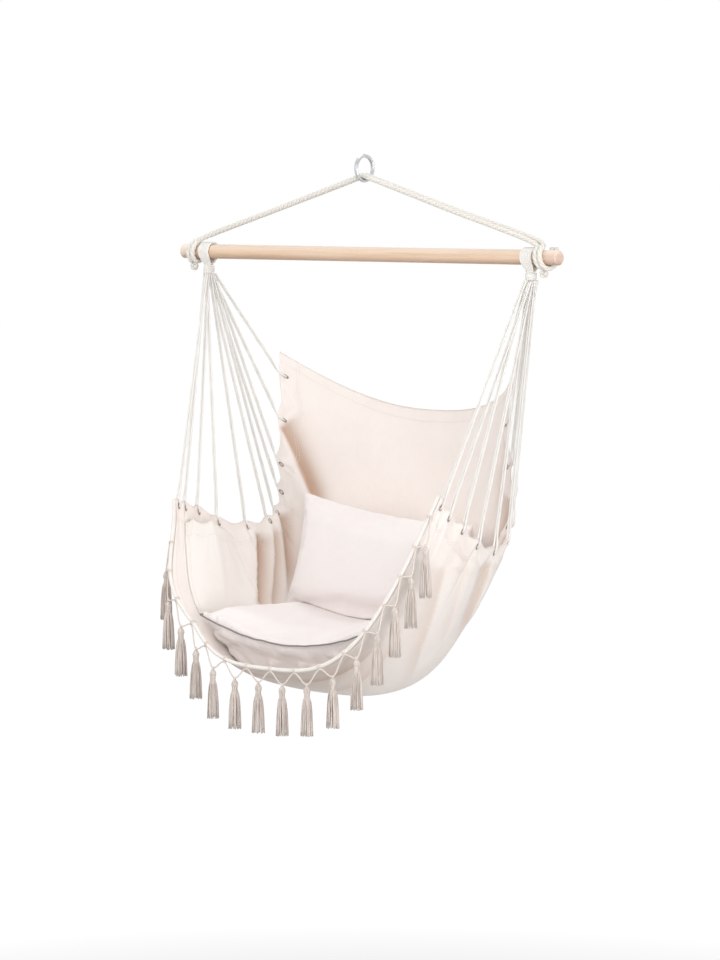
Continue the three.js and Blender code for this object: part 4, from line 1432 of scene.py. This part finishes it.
def thinned(_, co):
    """Flattens the back pillow a little towards its own plane, for the filling to swell."""
    x, y, z = co.T / MM
    plane = PILLOW_FOOT[1] + PILLOW_LEAN / PILLOW_RISE * (z - PILLOW_FOOT[2])
    return metres(x, plane + (y - plane) * 0.88, z)


def make_pillow(cushion):
    tree = tree_of(cushion.data, vectors(cushion.data))

    def resting(co):
        """Keeps the pillow in front of the canvas and on the cushion."""
        foot = PILLOW_FOOT[2] * MM
        co[:, 2] = foot + (co[:, 2] - foot) * np.where(co[:, 2] > foot, 0.92, 1)
        co = off_canvas(co, 5.0)
        for point in co:
            hit = tree.ray_cast(Vector((point[0], point[1], 0)), Vector((0, 0, -1)))[0]
            if hit is not None:
                point[2] = max(point[2], hit.z + 0.0008)
        return co

    piece = inflated("back_pillow", 0.013, around(pillow_seam) * MM, thinned, resting)
    upholstered(piece, "pillow", "back_pillow")


# The stage, in metres and watts

FLOOR_Z = -1.85
LAMPS = [
    # name, place, the point it faces, size, power and colour
    ("key", (2.6, -3.0, 1.3), (0, 0, -0.7), (2.6, 2.6), 60, (1, 0.995, 0.985)),
    ("fill", (-2.0, -3.0, 0.6), (0, 0, -0.8), (2.6, 2.6), 42, (1, 0.985, 0.97)),
    ("low", (3.4, -0.9, -1.35), (0, 0, -0.9), (2.2, 1.6), 58, (1, 0.99, 0.99)),
    ("top", (0.2, 0.4, 3.0), (0, 0, -0.7), (3.0, 3.0), 38, (1, 1, 1)),
    ("rear", (-1.5, 3.4, 0.4), (0, 0, -0.7), (2.4, 2.4), 30, (1, 1, 1)),
]


def make_lamps():
    for name, spot, target, size, power, colour in LAMPS:
        data = bpy.data.lights.new(name, "AREA")
        data.shape = "RECTANGLE"
        data.size, data.size_y = size
        data.energy = power
        data.color = colour
        light = linked(name, data)
        light.location = spot
        light.rotation_euler = (Vector(target) - Vector(spot)).to_track_quat("-Z", "Y").to_euler()


def seen_directly(n):
    """1 for what the camera sees, also in metal and through glass, and 0 for light on the object."""
    path = n.add("LightPath").outputs
    seen = path["Is Camera Ray"]
    for other in ("Is Glossy Ray", "Is Transmission Ray"):
        seen = n.math("MAXIMUM", seen, path[other])
    return seen


def make_world():
    """White to the camera, dimmer as light on the object."""
    world = bpy.data.worlds.new("studio")
    bpy.context.scene.world = world
    n = Nodes(world)
    strength = n.add("MapRange", {"Value": seen_directly(n), "To Min": 0.55, "To Max": 1.0})
    back = n.tree.nodes["Background"]
    n.put(back.inputs["Strength"], strength.outputs[0])
    n.put(back.inputs["Color"], (1, 1, 1))


def make_floor():
    """Matt grey that glows white to the camera, the more so farther out, so that it ends in white."""
    n = new_material("studio_floor")
    matt = n.tree.nodes["Principled BSDF"]
    for name, value in (("Base Color", (0.55, 0.55, 0.55)), ("Roughness", 1), ("Specular IOR Level", 0)):
        n.put(matt.inputs[name], value)
    glow = n.add("Emission", {"Strength": 1.08})
    away = n.add("VectorMath", {0: n.coordinate("Object")}, operation="LENGTH").outputs["Value"]
    far = n.add("MapRange", {"Value": away, "From Min": 0.7, "From Max": 2.1, "To Min": 0.35, "To Max": 0.92})
    share = n.times(seen_directly(n), far.outputs[0])
    mix = n.add("MixShader", {0: share, 1: matt.outputs[0], 2: glow.outputs[0]})
    n.put(n.tree.nodes["Material Output"].inputs["Surface"], mix.outputs[0])
    bpy.ops.mesh.primitive_plane_add(size=60, location=(0, 0, FLOOR_Z))
    floor = bpy.context.object
    floor.name = "studio_floor"
    floor.data.materials.append(n.owner)


# Putting it together

make_camera()
for node, material in (("hanging_ring", ring_steel()), ("spreader_bar", dowel_wood())):
    NODES[node].data.materials.clear()
    NODES[node].data.materials.append(material)

make_suspension()
make_hitch_knots()
make_eye_loops()
make_whippings()
make_fan_cords()
make_eyelets()
canvas, canvas_width, canvas_length, canvas_area = make_canvas()
stitching = make_stitching()
make_front_rope()
make_fringe()
make_tassels()
make_pocket()
cushion = make_seat_cushion()
make_piping()
make_pillow(cushion)
make_lamps()
make_world()
make_floor()
bpy.context.scene.view_settings.view_transform = "Standard"
